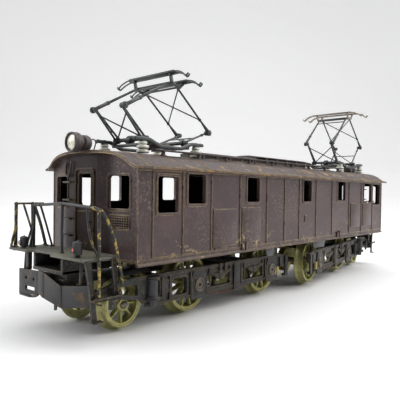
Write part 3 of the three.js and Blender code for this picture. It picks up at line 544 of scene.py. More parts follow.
def wall(mb, P0, P1, outline, holes, t=0.9, miter=(0.0, 0.0)):
    """Sheet wall with openings: the outer face lies on P0-P1, material index 1 faces the inside and carries the
    near-black painted shade.
    """
    keep = mb.T
    mb.T = on_wall(P0, P1, 0, 0)
    L = wall_frame(P0, P1)[3]
    bm = bmesh.new()
    es = []
    for loop in [outline] + list(holes):
        vs = [bm.verts.new((u, z, 0)) for u, z in loop]
        for i in range(len(vs)):
            es.append(bm.edges.new((vs[i], vs[(i + 1) % len(vs)])))
    bmesh.ops.triangle_fill(bm, use_beauty=True, use_dissolve=False, edges=es, normal=(0, 0, 1))
    bm.verts.index_update()
    n = len(bm.verts)
    front = [Vector((v.co.x, 0.0, v.co.y)) for v in bm.verts]
    back = []
    for p in front:
        u = p.x
        if u < 1e-4:
            u = miter[0] * t
        elif u > L - 1e-4:
            u = L - miter[1] * t
        back.append(Vector((u, -t, p.z)))
    tri = [tuple(v.index for v in f.verts) for f in bm.faces]
    tri = [f if f_n > 0 else tuple(reversed(f)) for f, f_n in zip(tri, [face_up(bm, f) for f in bm.faces])]
    faces = [tuple(reversed(f)) for f in tri] + [tuple(i + n for i in f) for f in tri]
    mats = [0] * len(tri) + [1] * len(tri)
    for e in bm.edges:
        if len(e.link_faces) == 1:
            a, b = e.verts[0].index, e.verts[1].index
            f = e.link_faces[0]
            idx = [v.index for v in f.verts]
            k = idx.index(a)
            if idx[(k + 1) % len(idx)] != b:
                a, b = b, a
            ids = (a, b, b + n, a + n) if face_up(bm, f) > 0 else (b, a, a + n, b + n)
            faces.append(ids)
            mats.append(0)
    bm.free()
    mb.add(front + back, faces, mats)
    mb.T = keep


def face_up(bm, f):
    v = [x.co for x in f.verts]
    return (v[1] - v[0]).cross(v[2] - v[0]).z


def surround(mb, P0, P1, u0, u1, z0, z1, r, w, h, m=0, inner=0.02):
    """Raised band round an opening."""
    keep = mb.T
    mb.T = on_wall(P0, P1, 0, 0)
    prism(mb, rounded(u0 - w, u1 + w, z0 - w, z1 + w, r + w * 0.6), "y", -0.05, h, [rounded(u0 - inner, u1 + inner, z0 - inner, z1 + inner, r)], 0.05, m, 2)
    mb.T = keep


def strip(mb, P0, P1, u0, u1, z0, z1, h, b=0.05, m=0, h0=-0.05):
    keep = mb.T
    mb.T = on_wall(P0, P1, 0, 0)
    box(mb, u0, u1, h0, h, z0, z1, b, m)
    mb.T = keep


CORNERS = {"A": (-76.6, -4.8), "B": (-74.5, -17.5), "C": (74.5, -17.5), "D": (76.6, -4.8), "E": (76.6, 4.8), "F": (74.5, 17.5), "G": (-74.5, 17.5), "H": (-76.6, 4.8)}
SIDE_WINDOWS = [(-68.2, -61.2, 29.1, 38.0), (-57.5, -50.8, 31.2, 38.9), (-31.7, -25.4, 31.5, 38.8), (1.8, 7.4, 31.4, 38.9), (29.0, 35.6, 31.6, 39.0), (54.6, 62.2, 30.6, 38.9), (64.2, 72.2, 29.6, 38.7)]
SIDE_WINDOWS_LEFT = [(-68.2, -61.2, 29.1, 38.0), (-57.5, -51.5, 31.2, 38.9), (-33.4, -27.0, 31.4, 39.0)] + SIDE_WINDOWS[3:]
SEAMS = [-69.8, -59.4, -48.2, -35.2, -21.1, -10.6, -0.9, 11.2, 24.1, 39.5, 51.6, 63.7]
shell = Mesh()
TAN_CORNER = math.tan(math.radians((90 - 9.39) / 2))
TAN_FACET = math.tan(math.radians(9.39 / 2))


def build_side(P0, P1, right=True):
    X0 = 74.5
    span = (lambda a, b: (a + X0, b + X0)) if right else (lambda a, b: (X0 - b, X0 - a))
    wins = [span(x0, x1) + (z0, z1) for x0, x1, z0, z1 in (SIDE_WINDOWS if right else SIDE_WINDOWS_LEFT)]
    wall(shell, P0, P1, [(0, 16.6), (149.0, 16.6), (149.0, 39.9), (0, 39.9)], [rounded(u0, u1, z0, z1, 0.7) for u0, u1, z0, z1 in wins], 0.9, (TAN_CORNER, TAN_CORNER))
    for i, (u0, u1, z0, z1) in enumerate(wins):
        surround(shell, P0, P1, u0, u1, z0, z1, 0.7, 0.62 if i != 1 else 0.75, 0.2)
    for x in SEAMS:  # lapped sheets: a thin raised edge
        strip(shell, P0, P1, *span(x - 0.22, x + 0.2), 18.45, 39.6, 0.24, 0.07)
    # raised blank panels under and beside the windows
    for x0, x1, z0, z1 in ((-47.4, -36.6, 19.2, 29.6), (-34.2, -24.6, 19.6, 29.9), (41.0, 50.6, 20.6, 30.4), (53.0, 62.6, 20.6, 30.4)):
        strip(shell, P0, P1, *span(x0, x1), z0, z1, 0.26, 0.1)
    strip(shell, P0, P1, *span(-46.6, -41.0), 18.35, 19.0, 0.3, 0.1)
    # bottom lines and the beaded lower lip
    strip(shell, P0, P1, 1.2, 147.8, 18.1, 18.42, 0.16, 0.06)
    keep = shell.T
    shell.T = on_wall(P0, P1, 0, 0)
    sweep(shell, [(-0.15, 0.12, 17.0), (149.15, 0.12, 17.0)], ring2(0.42, 12, 0.42), 0)
    # eave-line moulding
    box(shell, 0.2, 148.8, -0.05, 0.3, 39.25, 39.75, 0.08)
    shell.T = keep


def add_oval(P0, P1, x):
    keep = shell.T
    shell.T = on_wall(P0, P1, 0, 0) @ Matrix.Translation((x + 74.5, 0, 25.4)) @ Matrix.Diagonal((0.8, 1, 1.15, 1))
    lathe(shell, [(0, -0.05), (1.15, -0.05), (1.15, 0.2), (1.02, 0.3), (0.9, 0.24), (0, 0.24)], 28, "y")
    shell.T = keep


def sill_bracket(P0, P1, x):
    keep = shell.T
    shell.T = on_wall(P0, P1, 0, 0)
    u = x + 74.5
    box(shell, u - 1.6, u - 0.4, 0, 0.55, 17.3, 19.3, 0.08)
    box(shell, u + 0.1, u + 0.6, 0, 0.7, 17.2, 19.8, 0.08)
    shell.T = keep


def top_line(P0, P1):
    """Upper edge of an end wall, following the underside of the roof."""
    a, d, n, L = wall_frame(P0, P1)
    us = sorted({0.0, L} | {L * k / 14 for k in range(15)})
    return [(u, min(skin((a + d * u).y) - 0.7, 43.5)) for u in us]


def build_end(names):
    a, b, c, d = (CORNERS[k] for k in names)  # corner, facet edge, facet edge, corner
    # right-hand facet, centre facet, left-hand facet, seen from outside, going anticlockwise in plan
    for P0, P1, kind in ((a, b, "first"), (b, c, "mid"), (c, d, "last")):
        L = wall_frame(P0, P1)[3]
        line = top_line(P0, P1)
        outline = [(0, 17.5), (L, 17.5)] + [(u, z) for u, z in reversed(line)]
        k = L / 12.7
        if kind == "mid":
            holes = [(2.3, 7.3, 30.5, 38.6)]
        elif kind == "first":
            holes = [((17.5 - 15.1) * k, (17.5 - 8.6) * k, 30.1, 37.9)]
        else:
            holes = [((8.6 - 4.8) * k, (15.1 - 4.8) * k, 30.1, 37.9)]
        m0 = TAN_CORNER if kind == "first" else TAN_FACET
        m1 = TAN_CORNER if kind == "last" else TAN_FACET
        wall(shell, P0, P1, outline, [rounded(*h, 0.7 if kind != "mid" else 1.0) for h in holes], 0.9, (m0, m1))
        for u0, u1, z0, z1 in holes:
            surround(shell, P0, P1, u0, u1, z0, z1, 0.7, 0.5 if kind != "mid" else 0.35, 0.18)
        if kind == "mid":  # end door in its frame
            surround(shell, P0, P1, 1.2, 8.4, 17.7, 39.4, 0.9, 0.42, 0.36, inner=0.0)
            surround(shell, P0, P1, 1.95, 7.65, 18.5, 38.75, 0.8, 0.2, 0.12, inner=0.0)
            strip(shell, P0, P1, 1.8, 7.8, 28.9, 29.2, 0.2, 0.06)
            keep = shell.T
            shell.T = on_wall(P0, P1, 0, 0)
            for z in (22.5, 30.0, 36.8):  # door hinges
                rod(shell, (1.35, 0.34, z - 0.8), (1.35, 0.34, z + 0.8), 0.26, 10)
            ball(shell, (7.2, 0.35, 26.4), 0.4, 0, 12)  # door knob
            shell.T = keep
        if kind == "last":
            strip(shell, P0, P1, L - 0.3, L + 0.12, 17.6, 39.4, 0.16, 0.06)
        if kind == "first":
            strip(shell, P0, P1, -0.12, 0.3, 17.6, 39.4, 0.16, 0.06)
        strip(shell, P0, P1, 0.1, L - 0.1, 17.6, 18.1, 0.14, 0.06)


build_side(CORNERS["B"], CORNERS["C"])
build_side(CORNERS["F"], CORNERS["G"], False)
add_oval(CORNERS["B"], CORNERS["C"], 3.7)
add_oval(CORNERS["F"], CORNERS["G"], -3.7)
for P, k in ((("B", "C"), 1), (("F", "G"), -1)):
    for x in (-32.7, 29.9):
        sill_bracket(CORNERS[P[0]], CORNERS[P[1]], k * x)
build_end("GHAB")
build_end("CDEF")


def grille(P0, P1, u0, u1, z0, z1):
    keep = shell.T
    shell.T = on_wall(P0, P1, 0, 0)
    surround(shell, P0, P1, u0, u1, z0, z1, 0.3, 0.32, 0.22)
    shell.T = on_wall(P0, P1, 0, 0)
    # near-black sheet behind the slats: painted shade where the louvres open into the body
    box(shell, u0, u1, -0.02, 0.04, z0, z1, 0, 1)
    n = 5
    for i in range(n):
        z = z0 + (z1 - z0) * (i + 0.5) / n
        box(shell, u0 + 0.05, u1 - 0.05, 0, 0.2, z - 0.13, z + 0.13, 0.05)
    for i in range(1, 8):
        u = u0 + (u1 - u0) * i / 8
        box(shell, u - 0.07, u + 0.07, 0, 0.16, z0 + 0.05, z1 - 0.05, 0.03)
    shell.T = keep


def rung(P0, P1, u0, u1, z):
    keep = shell.T
    shell.T = on_wall(P0, P1, 0, 0)
    wire(shell, [(u0, -0.1, z), (u0, 0.75, z), (u0 + 0.3, 0.95, z), (u1 - 0.3, 0.95, z), (u1, 0.75, z), (u1, -0.1, z)], 0.24, 8, 3, 2)
    shell.T = keep


# right-hand facet carries the grille, the left-hand facet the rungs and the conduit; the other end likewise
for right, left in ((("A", "B"), ("G", "H")), (("E", "F"), ("C", "D"))):
    R0, R1 = CORNERS[right[0]], CORNERS[right[1]]
    L0, L1 = CORNERS[left[0]], CORNERS[left[1]]
    grille(R0, R1, 4.4, 10.3, 25.4, 28.3)
    for z in (36.4, 31.8, 26.9, 22.6):
        rung(L0, L1, 12.87 - 4.6, 12.87 - 0.9, z)
    keep = shell.T
    shell.T = on_wall(L0, L1, 0, 0)
    wire(shell, [(12.87 - 3.9, 0.4, 41.3), (12.87 - 3.85, 0.55, 39.6), (12.87 - 3.4, 0.62, 38.2), (12.87 - 2.2, 0.62, 37.9), (12.87 - 1.2, 0.62, 38.9), (12.87 - 0.5, 0.5, 41.6)], 0.3, 10, 6, 2)
    shell.T = keep
# index 1, the inside faces and the grille backing, gets the near-black painted shade
piece("body_shell_panels", shell, [M_BODY, M_DARK, M_FRAME], "carbody", ["body_shell"], 28)

# ------------------------------------------------------------------ roof
roof = Mesh()


def roof_half(y):
    """Half length of the roof at this distance from the centre plane."""
    a = abs(y)
    return 78.2 if a <= 5.1 else 78.2 - (78.2 - 76.1) * (a - 5.1) / (19.4 - 5.1)


def smooth_profile():
    P = smooth_path([(p[0], 0, p[1]) for p in PROFILE], 3)
    right = [(p.x, p.z) for p in P]
    return [(-y, z) for y, z in reversed(right)] + right[1:]


sp = smooth_profile()
ynodes = sorted(set([round(y, 4) for y, z in sp] + [-5.1, 5.1]))


def prof_z(y):
    for (y0, z0), (y1, z1) in zip(sp, sp[1:]):
        if y0 - 1e-6 <= y <= y1 + 1e-6:
            return z0 + (z1 - z0) * (y - y0) / max(y1 - y0, 1e-9)
    return 40.1


JOINTS = [-71.4, -60.4, -49.6, -37.6, -24.6, -12.0, 0.4, 12.6, 25.2, 38.0, 50.0, 61.0, 71.4]
base = [-1.0, -0.9985, -0.985] + [x / 78.2 for x in np.linspace(-74, 74, 60)] + [0.985, 0.9985, 1.0]
stations = sorted(set(round(b, 5) for b in base))
ring = [(y, prof_z(y)) for y in ynodes]
under = [(y * 0.985 if abs(y) > 18.4 else y, z - 0.62) for y, z in ring]
# closed section: outer skin, eave lip, inner skin
section = [(y, z) for y, z in ring] + [(19.4, 39.62), (19.2, 39.48), (19.0, 39.6)] + [(min(max(y, -18.95), 18.95), max(z, 39.5)) for y, z in reversed(under)] + [(-19.0, 39.6), (-19.2, 39.48), (-19.4, 39.62)]
verts, faces = [], []
k = len(section)
for s in stations:
    for y, z in section:
        half = roof_half(y)
        edge = abs(s) >= 0.9999
        verts.append((s * half, y, z - (0.10 if edge and z > 39.9 else 0.0)))
for i in range(len(stations) - 1):
    for j in range(k):
        a, b = i * k + j, i * k + (j + 1) % k
        faces.append((a, b, b + k, a + k))
faces.append(tuple(range(k))[::-1])
faces.append(tuple((len(stations) - 1) * k + j for j in range(k)))
roof.add(verts, faces, 0)
for x in JOINTS:  # soldered joints of the roof sheets
    for s in (-1, 1):
        pts = [(x, s * y, prof_z(s * y) + 0.03) for y in (19.35, 18.9, 18.3, 17.6, 16.8, 16.0, 15.0, 13.8, 12.4, 10.8, 8.5, 5.5, 2.5, 0.0)]
        sweep(roof, pts, [(-0.2, -0.06), (0.2, -0.06), (0.16, 0.07), (-0.16, 0.07)], 0, None, (0, 0, 1))
for s in (-1, 1):  # rain strip along the shoulder and rolled eave
    sweep(roof, [(-75.6, s * 19.22, 39.85), (75.6, s * 19.22, 39.85)], ring2(0.17, 10), 0)
    for x in np.arange(-72, 73, 4.0):
        rivet(roof, (x, s * 18.75, prof_z(18.75) + 0.02), (0, s * 0.2, 1), 0.14)
piece("roof_shell_skin", roof, [M_ROOF], "carbody", ["roof_shell"], 30)

# ------------------------------------------------------------------ floor and kingpins keep their CAD shape
for n in ("floor_plate",):
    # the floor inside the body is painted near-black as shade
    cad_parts[n].data.materials.clear()
    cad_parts[n].data.materials.append(M_DARK)

for tag, s in (("front", -1), ("rear", 1)):
    mb = Mesh()
    mb.T = Matrix.Translation((s * 38.6, 0, 0))
    lathe(mb, fillet([(0, 14.5), (1.1, 14.5), (1.3, 14.8), (1.3, 19.45), (2.6, 19.45), (2.6, 20.4), (2.3, 20.6), (0, 20.6)], 0.1), 28)
    box(mb, -1.9, 1.9, -0.3, 0.3, 20.3, 20.62, 0.04, 1)
    piece("kingpin_" + tag + "_turned", mb, [M_STEEL, M_DARK], "carbody", ["kingpin_" + tag])

# ------------------------------------------------------------------ headlights
for tag, s in (("front", -1), ("rear", 1)):
    R = Matrix.Rotation(0 if s < 0 else PI, 4, "Z")
    T = R @ Matrix.Translation((-81.1, 0, 46.05))
    mb = Mesh()
    mb.T = T
    lathe(mb, [(0, 0.72), (2.05, 0.72), (2.06, 0.1), (2.16, 0.02), (2.28, 0.0), (2.42, 0.08), (2.5, 0.25), (2.5, 0.62), (2.44, 0.7), (2.44, 0.82), (2.5, 0.9), (2.5, 1.85), (2.44, 2.05), (2.3, 2.18), (1.75, 2.5), (1.62, 2.62), (1.6, 2.75), (1.6, 5.0), (1.5, 5.35), (1.2, 5.68), (0.9, 5.78), (0, 5.8)], 48, "x")
    lathe(mb, fillet([(1.62, 3.3), (1.95, 3.4), (2.02, 3.8), (2.02, 4.7), (1.8, 5.2), (1.5, 5.3), (1.5, 3.3)], 0.12), 36, "x")
    for a in range(4):
        c = math.radians(45 + 90 * a)
        rivet(mb, (1.2, 2.48 * math.cos(c), 2.48 * math.sin(c)), (0, math.cos(c), math.sin(c)), 0.16)
    box(mb, 3.4, 5.0, -1.2, 1.2, -1.7, -0.9, 0.15)
    box(mb, 3.7, 4.7, -0.75, 0.75, -1.2, 0.0, 0.15)
    for y in (-0.9, 0.9):
        rivet(mb, (4.2, y, -0.92), (0, 0, 1), 0.2)
    # cable from the lamp back to the roof
    wire(mb, [(5.3, 0.0, -0.3), (6.1, -0.1, 0.9), (6.7, -0.4, 1.15), (7.0, -0.8, 0.4), (6.6, -0.9, -0.9), (6.3, -0.9, -1.72)], 0.16, 8, 6, 1)
    piece("headlight_" + tag + "_housing", mb, [M_BOARD, M_WIRE], "carbody", ["headlight_" + tag])
    mb = Mesh()
    mb.T = T
    prof = [(0, 0.10), (0.5, 0.12), (1.0, 0.18), (1.5, 0.3), (1.85, 0.45), (2.02, 0.55), (2.02, 0.72), (0, 0.72)]
    lathe(mb, prof, 48, "x")
    for r in (0.55, 1.05, 1.5):  # moulded rings of the jewel
        x = np.interp(r, [0, 0.5, 1.0, 1.5, 1.85], [0.10, 0.12, 0.18, 0.3, 0.45]) - 0.02
        lathe(mb, [(r - 0.07, x + 0.05), (r, x), (r + 0.07, x + 0.05), (r, x + 0.12)], 40, "x")
    piece("headlight_" + tag + "_jewel", mb, [M_LENS], "carbody", ["headlight_lens_" + tag], 60)

# ------------------------------------------------------------------ roof walks and ventilator
POSTS = [-60, -46, -33.5, -21.5, -8, 5, 17.6, 30.8, 43]
for tag, s in (("right", -1), ("left", 1)):
    mb = Mesh()
    x0, x1, zt, zb = -63.5, 46.5, 45.15, 44.76
    for y0, y1 in ((9.92, 10.42), (10.52, 11.08), (11.18, 11.68)):  # three planks
        for a, b in ((-63.5, -27.2), (-27.05, 9.9), (10.05, 46.5)):
            box(mb, a, b, y0 if s > 0 else -y1, y1 if s > 0 else -y0, zb + 0.06, zt, 0.06)
    for x in POSTS:
        y = s * 10.75
        box(mb, x - 0.45, x + 0.45, y - 0.85, y + 0.85, zb - 0.12, zb + 0.1, 0.05)
        zf = skin(10.75) + 0.02
        box(mb, x - 0.4, x + 0.4, y - 0.4, y + 0.4, zf, zb + 0.02, 0.07)
        box(mb, x - 0.7, x + 0.7, y - 0.62, y + 0.62, zf - 0.12, zf + 0.16, 0.06)
        for dx in (-0.25, 0.25):
            rivet(mb, (x + dx, y, zt - 0.03), (0, 0, 1), 0.12)
    piece("running_board_" + tag + "_planks", mb, [M_BOARD], "carbody", ["running_board_" + tag])

mb = Mesh()
# low cover and raised cover, each a curved lid on posts over louvred sides
for x0, x1, hw, zl, zt in ((-37.4, -10.0, 4.95, 45.85, 46.5), (-10.0, 25.9, 5.15, 46.6, 47.4)):
    lid = [(-hw, zl), (hw, zl), (hw, zl + 0.3), (hw * 0.8, zl + 0.5), (hw * 0.45, zt - 0.03), (0, zt), (-hw * 0.45, zt - 0.03), (-hw * 0.8, zl + 0.5), (-hw, zl + 0.3)]
    prism(mb, lid, "x", x0, x1, (), 0.07)
    nx = max(2, int(round((x1 - x0) / 7.1)))
    for i in range(nx + 1):
        x = x0 + 0.5 + (x1 - x0 - 1.0) * i / nx
        box(mb, x - 0.42, x + 0.42, -hw + 0.15, hw - 0.15, 44.36, zl + 0.05, 0.08)
        for sy in (-1, 1):
            rivet(mb, (x, sy * (hw - 0.02), zl + 0.14), (0, sy, 0), 0.13)
    box(mb, x0 + 0.1, x1 - 0.1, -hw + 0.1, hw - 0.1, 44.34, 44.66, 0.08)
    for sy in (-1, 1):
        for i in range(nx):
            a = x0 + 0.9 + (x1 - x0 - 1.0) * i / nx
            b = x0 + 0.1 + (x1 - x0 - 1.0) * (i + 1) / nx
            for z in np.arange(45.0, zl - 0.1, 0.42):
                bar(mb, [(a, sy * (hw - 0.7), z), (b, sy * (hw - 0.7), z)], 0.55, 0.1, (0, sy * 0.6, 0.8))
    for i in range(1, nx):  # lid joints
        x = x0 + (x1 - x0) * i / nx
        prism(mb, [(p[0], p[1] + 0.035 if p[1] > zl else p[1]) for p in lid], "x", x - 0.14, x + 0.14, (), 0)
# near-black core between the louvred sides: painted shade under the lids
box(mb, -37.0, 25.5, -3.6, 3.6, 44.36, 45.6, 0.05, 1)
piece("roof_ventilator_lids", mb, [M_BOARD, M_DARK], "carbody", ["roof_ventilator"])

# ------------------------------------------------------------------ wheelsets
def wheel(mb, sy, tread, flange, spokes, m=0):
    """One spoked wheel between |y| 7.25 and 10.35."""
    yb, yf = 7.25, 10.35
    rim_in = tread - 1.2
    hub = 1.75 if tread < 7 else 2.2
    prof = [(rim_in, yb + 0.1), (flange - 0.25, yb), (flange, yb + 0.22), (flange, yb + 0.38), (flange - 0.35, yb + 0.72), (tread + 0.12, yb + 1.05), (tread, yb + 1.3), (tread - 0.06, yf - 0.15), (tread - 0.22, yf), (tread - 0.62, yf), (tread - 0.72, yf - 0.16), (rim_in + 0.06, yf - 0.2), (rim_in, yf - 0.32)]
    prof = [(r, sy * h) for r, h in prof]
    lathe(mb, prof, 72, "y", m=m)
    # hub with a turned axle end
    h = [(0.95, yb - 0.35), (hub * 0.92, yb - 0.35), (hub, yb - 0.1), (hub, yf - 0.35), (hub * 0.86, yf - 0.06), (hub * 0.62, yf), (hub * 0.6, yf - 0.1), (0.95, yf - 0.12)]
    lathe(mb, [(r, sy * q) for r, q in h], 32, "y", m=m)
    r0, r1 = hub * 0.9, rim_in + 0.15
    for k in range(spokes):  # tapered spokes with an oval section, webbed at both ends
        a = 2 * PI * (k + (0.5 if tread > 7 else 0.0)) / spokes
        c, s = math.cos(a), math.sin(a)
        n = 9
        verts, faces = [], []
        seg = 10
        for i in range(n):
            t = i / (n - 1)
            r = r0 + (r1 - r0) * t
            w = (0.50 - 0.10 * t) + 0.28 * math.exp(-t * 9) + 0.22 * math.exp(-(1 - t) * 9)
            th = 0.86 - 0.16 * t
            for j in range(seg):
                q = 2 * PI * j / seg
                u = w * math.copysign(abs(math.cos(q)) ** 0.8, math.cos(q))
                v = th * math.copysign(abs(math.sin(q)) ** 0.8, math.sin(q))
                y = sy * (8.85 + v)
                verts.append((s * r + c * u, y, c * r - s * u))
        for i in range(n - 1):
            for j in range(seg):
                p, q = i * seg + j, i * seg + (j + 1) % seg
                faces.append((p, q, q + seg, p + seg))
        faces.append(tuple(range(seg))[::-1])
        faces.append(tuple((n - 1) * seg + j for j in range(seg)))
        mb.add(verts, faces, m)


def wheelset_mesh(T, x, z, tread, flange, spokes, kind):
    mb = Mesh()
    mb.T = T @ Matrix.Translation((x, 0, z))
    for sy in (-1, 1):
        wheel(mb, sy, tread, flange, spokes)
    half = 13.35 if kind != "lead" else 10.95
    ax = [(0, -half), (0.45, -half), (0.95, -half + 0.35), (0.98, -10.6 if kind != "lead" else -10.4)]
    prof = [(0, -half), (0.55, -half), (0.95, -half + 0.3), (0.97, -10.4), (0.97, -6.9), (1.0, -6.8), (1.0, 6.8), (0.97, 6.9), (0.97, 10.4), (0.95, half - 0.3), (0.55, half), (0, half)]
    lathe(mb, prof, 24, "y", m=1)
    # insulating bush on one side of the axle
    lathe(mb, [(1.0, 6.95), (1.35, 6.98), (1.35, 7.3), (1.0, 7.35)], 24, "y", m=2)
    if kind == "geared":
        n, ro, ri = 36, 4.55, 4.15
        pts = []
        for k in range(n):
            for f, r in ((0.0, ri), (0.22, ri), (0.38, ro), (0.62, ro), (0.78, ri)):
                a = 2 * PI * (k + f) / n
                pts.append((r * math.cos(a), r * math.sin(a)))
        hole = [(3.6 * math.cos(2 * PI * i / 48), 3.6 * math.sin(2 * PI * i / 48)) for i in range(48)]
        prism(mb, pts, "y", -1.15, 1.15, (), 0, 3)
        lathe(mb, fillet([(1.0, -1.45), (2.3, -1.45), (2.4, -1.2), (2.4, 1.2), (2.3, 1.45), (1.0, 1.45)], 0.1), 32, "y", m=3)
    return mb


SIDE_HOLES = [(-20.6, -15.0, 7.2, 11.6), (-6.4, 4.2, 7.4, 11.2), (10.0, 21.6, 7.4, 11.2)]


def leaf_spring(mb, x, y, z, L, s):
    for k in range(5):
        l = L * (1 - 0.17 * k)
        pts = [(x + l * t / 2, y, z - 0.34 * k + 0.55 * t * t * (1 if k else 1.0) * (l / L) ** 2) for t in np.linspace(-1, 1, 9)]
        bar(mb, pts, 0.75, 0.26, (0, 0, 1), 1, 0.05)
    box(mb, x - 0.55, x + 0.55, y - 0.5, y + 0.5, z - 1.75, z + 0.3, 0.08)


def truck(tag, T, body, powered):
    # ---- frame
    mb = Mesh()
    mb.T = T
    plate = [(-45, 9.8), (-40.6, 9.4), (-31.5, 7.9), (-29.6, 6.4), (-25, 5.6), (-20.5, 5.9), (-14, 5.7), (-7, 5.7), (5, 5.4), (5, 4.9), (9, 4.9), (9, 5.4), (22, 5.7), (29.5, 5.7), (31, 7), (31, 9.8), (36.2, 9.8), (36.2, 12.8), (30, 13.6), (-31.5, 13.6), (-38.6, 13.5), (-41, 12.4), (-45, 11.6)]
    holes = [rounded(*h, 0.8) for h in SIDE_HOLES] + [closed_fillet([(-38.4, 10.1), (-32.2, 9.1), (-32.2, 11.7), (-38.4, 12.0)], 0.4, 3)]
    for s in (-1, 1):
        y0, y1 = sorted((s * 12.65, s * 13.75))
        prism(mb, closed_fillet(plate, 0.7, 3), "y", y0, y1, holes, 0.12)
        Y = lambda d: s * (13.75 + d)
        for x0, x1, z0, z1 in SIDE_HOLES[:3]:  # rim of each lightening hole
            lo, hi = sorted((Y(-0.08), Y(0.16)))
            prism(mb, rounded(x0 - 0.45, x1 + 0.45, z0 - 0.45, z1 + 0.45, 1.1), "y", lo, hi, [rounded(x0 - 0.02, x1 + 0.02, z0 - 0.02, z1 + 0.02, 0.8)], 0.05)
        for x in (-10.4, 26.0):  # pedestal, axle box and cover
            lo, hi = sorted((Y(-0.1), Y(0.5)))
            prism(mb, closed_fillet([(x - 3.4, 5.6), (x + 3.4, 5.6), (x + 3.1, 10.2), (x + 2.2, 12.9), (x - 2.2, 12.9), (x - 3.1, 10.2)], 0.5, 3), "y", lo, hi, (), 0.1)
            cover = fillet([(0.42, 0.3), (0.42, 0.78), (0.9, 0.86), (1.35, 0.72), (1.5, 0.95), (1.78, 0.98), (2.0, 0.8), (2.1, 0.42), (2.1, 0.0)], 0.08)
            lathe(mb, [(r, Y(h)) for r, h in cover + [(0.42, 0.0)]], 36, "y", (x, 0, 8.8), 1)
            lathe(mb, [(0, Y(0.2)), (0.44, Y(0.2)), (0.44, Y(0.5)), (0, Y(0.5))], 16, "y", (x, 0, 8.8), 2)
            for a in (45, 135, 225, 315):
                c = math.radians(a)
                rivet(mb, (x + 2.6 * math.cos(c), Y(0.48), 8.9 + 2.7 * math.sin(c)), (0, s, 0), 0.2)
            for dx in (-3.0, 3.0):
                lo, hi = sorted((Y(0.0), Y(0.62)))
                box(mb, x + dx - 0.28, x + dx + 0.28, lo, hi, 5.5, 10.4, 0.08)
            lo, hi = sorted((Y(-0.1), Y(0.55)))
            box(mb, x - 3.2, x + 3.2, lo, hi, 5.0, 5.7, 0.1)
        # equaliser beams and rivets
        lo, hi = sorted((Y(0.0), Y(0.3)))
        box(mb, -38.2, 30.2, lo, hi, 12.7, 13.45, 0.08)
        box(mb, -30, 29.4, lo, hi, 6.05, 6.55, 0.06)
        for x in np.arange(-29.5, 30, 2.35):
            if min(abs(x + 10.4), abs(x - 26.0)) > 2.6:
                rivet(mb, (x, Y(0.3), 13.08), (0, s, 0), 0.15)
        # stiffening ribs
        for x in (-21.6, -5.0 - 8.6, 7.0, 9.2, 22.4):
            box(mb, x - 0.3, x + 0.3, *sorted((Y(0.0), Y(0.5))), 6.4, 12.8, 0.1)
        box(mb, 5.4, 8.4, *sorted((Y(0.0), Y(0.62))), 4.95, 13.4, 0.14)
        for z in (6.2, 9.2, 12.2):
            rivet(mb, (6.9, Y(0.62), z), (0, s, 0), 0.24)
        leaf_spring(mb, -1.1, Y(0.2), 10.9, 9.4, s)
        leaf_spring(mb, 15.8, Y(0.2), 10.9, 10.0, s)
        for x in (-5.8, 3.6, 10.8, 20.8):
            rod(mb, (x, Y(0.2), 8.2), (x, Y(0.2), 12.7), 0.26, 10)
            rod(mb, (x, Y(0.2), 7.9), (x, Y(0.2), 8.5), 0.45, 6)
        # flanged vertical cylinder between the leading and the outer driving wheel
        cyl = [(0, 5.92), (0.9, 5.92), (1.05, 6.0), (1.15, 6.25), (1.15, 7.2), (1.4, 7.36), (1.95, 7.42), (2.04, 7.55), (2.02, 7.8), (1.82, 7.88), (1.82, 7.98), (2.02, 8.06), (2.04, 8.26), (1.9, 8.4), (1.42, 8.5), (1.38, 8.7), (1.38, 12.2), (1.45, 12.38), (1.95, 12.44), (2.04, 12.58), (2.02, 12.78), (1.82, 12.86), (1.82, 12.98), (2.02, 13.06), (2.04, 13.3), (1.8, 13.46), (0, 13.5)]
        lathe(mb, fillet(cyl, 0.05, 2), 40, "z", (-27.8, s * 14.1, 0), 3)
        for a in range(6):
            c = 2 * PI * (a + 0.5) / 6
            rivet(mb, (-27.8 + 1.85 * math.cos(c), s * 14.1 + 1.85 * math.sin(c), 13.2), (0, 0, 1), 0.13, 3)
        # hanger post and spring seat at the inner end
        box(mb, 34.6, 36.2, *sorted((Y(-0.1), Y(0.6))), 5.6, 12.8, 0.12)
        box(mb, 34.2, 36.2, *sorted((s * 12.9, s * 14.3)), 5.65, 6.5, 0.15)
        box(mb, 31.2, 33.4, *sorted((Y(-0.3), Y(0.5))), 9.2, 12.4, 0.15)
        # brass end of the axle bearing
        box(mb, 28.2, 30.6, *sorted((Y(-0.2), Y(0.55))), 6.6, 9.4, 0.2, 4)
        # short guard plate hung in front of the leading wheel
        box(mb, -41.1, -39.3, *sorted((s * 13.7, s * 14.3)), 7.2, 11.4, 0.12)
        box(mb, -40.7, -39.7, *sorted((s * 12.8, s * 14.2)), 10.6, 12.2, 0.12)
        box(mb, -25.4, -22.2, *sorted((Y(-0.3), Y(0.45))), 8.3, 11.9, 0.15)
        box(mb, -24.9, -24.2, *sorted((Y(0.0), Y(0.8))), 7.6, 12.6, 0.1)
        for x in (-22.4,):
            rivet(mb, (x, Y(0.42), 11.2), (0, s, 0), 0.3)
            rivet(mb, (x, Y(0.42), 9.0), (0, s, 0), 0.3)
        for x, z in ((-43.8, 10.7), (-42.6, 10.7), (-30.8, 10.2), (-30.8, 12.4)):
            rivet(mb, (x, Y(0.02), z), (0, s, 0), 0.25)
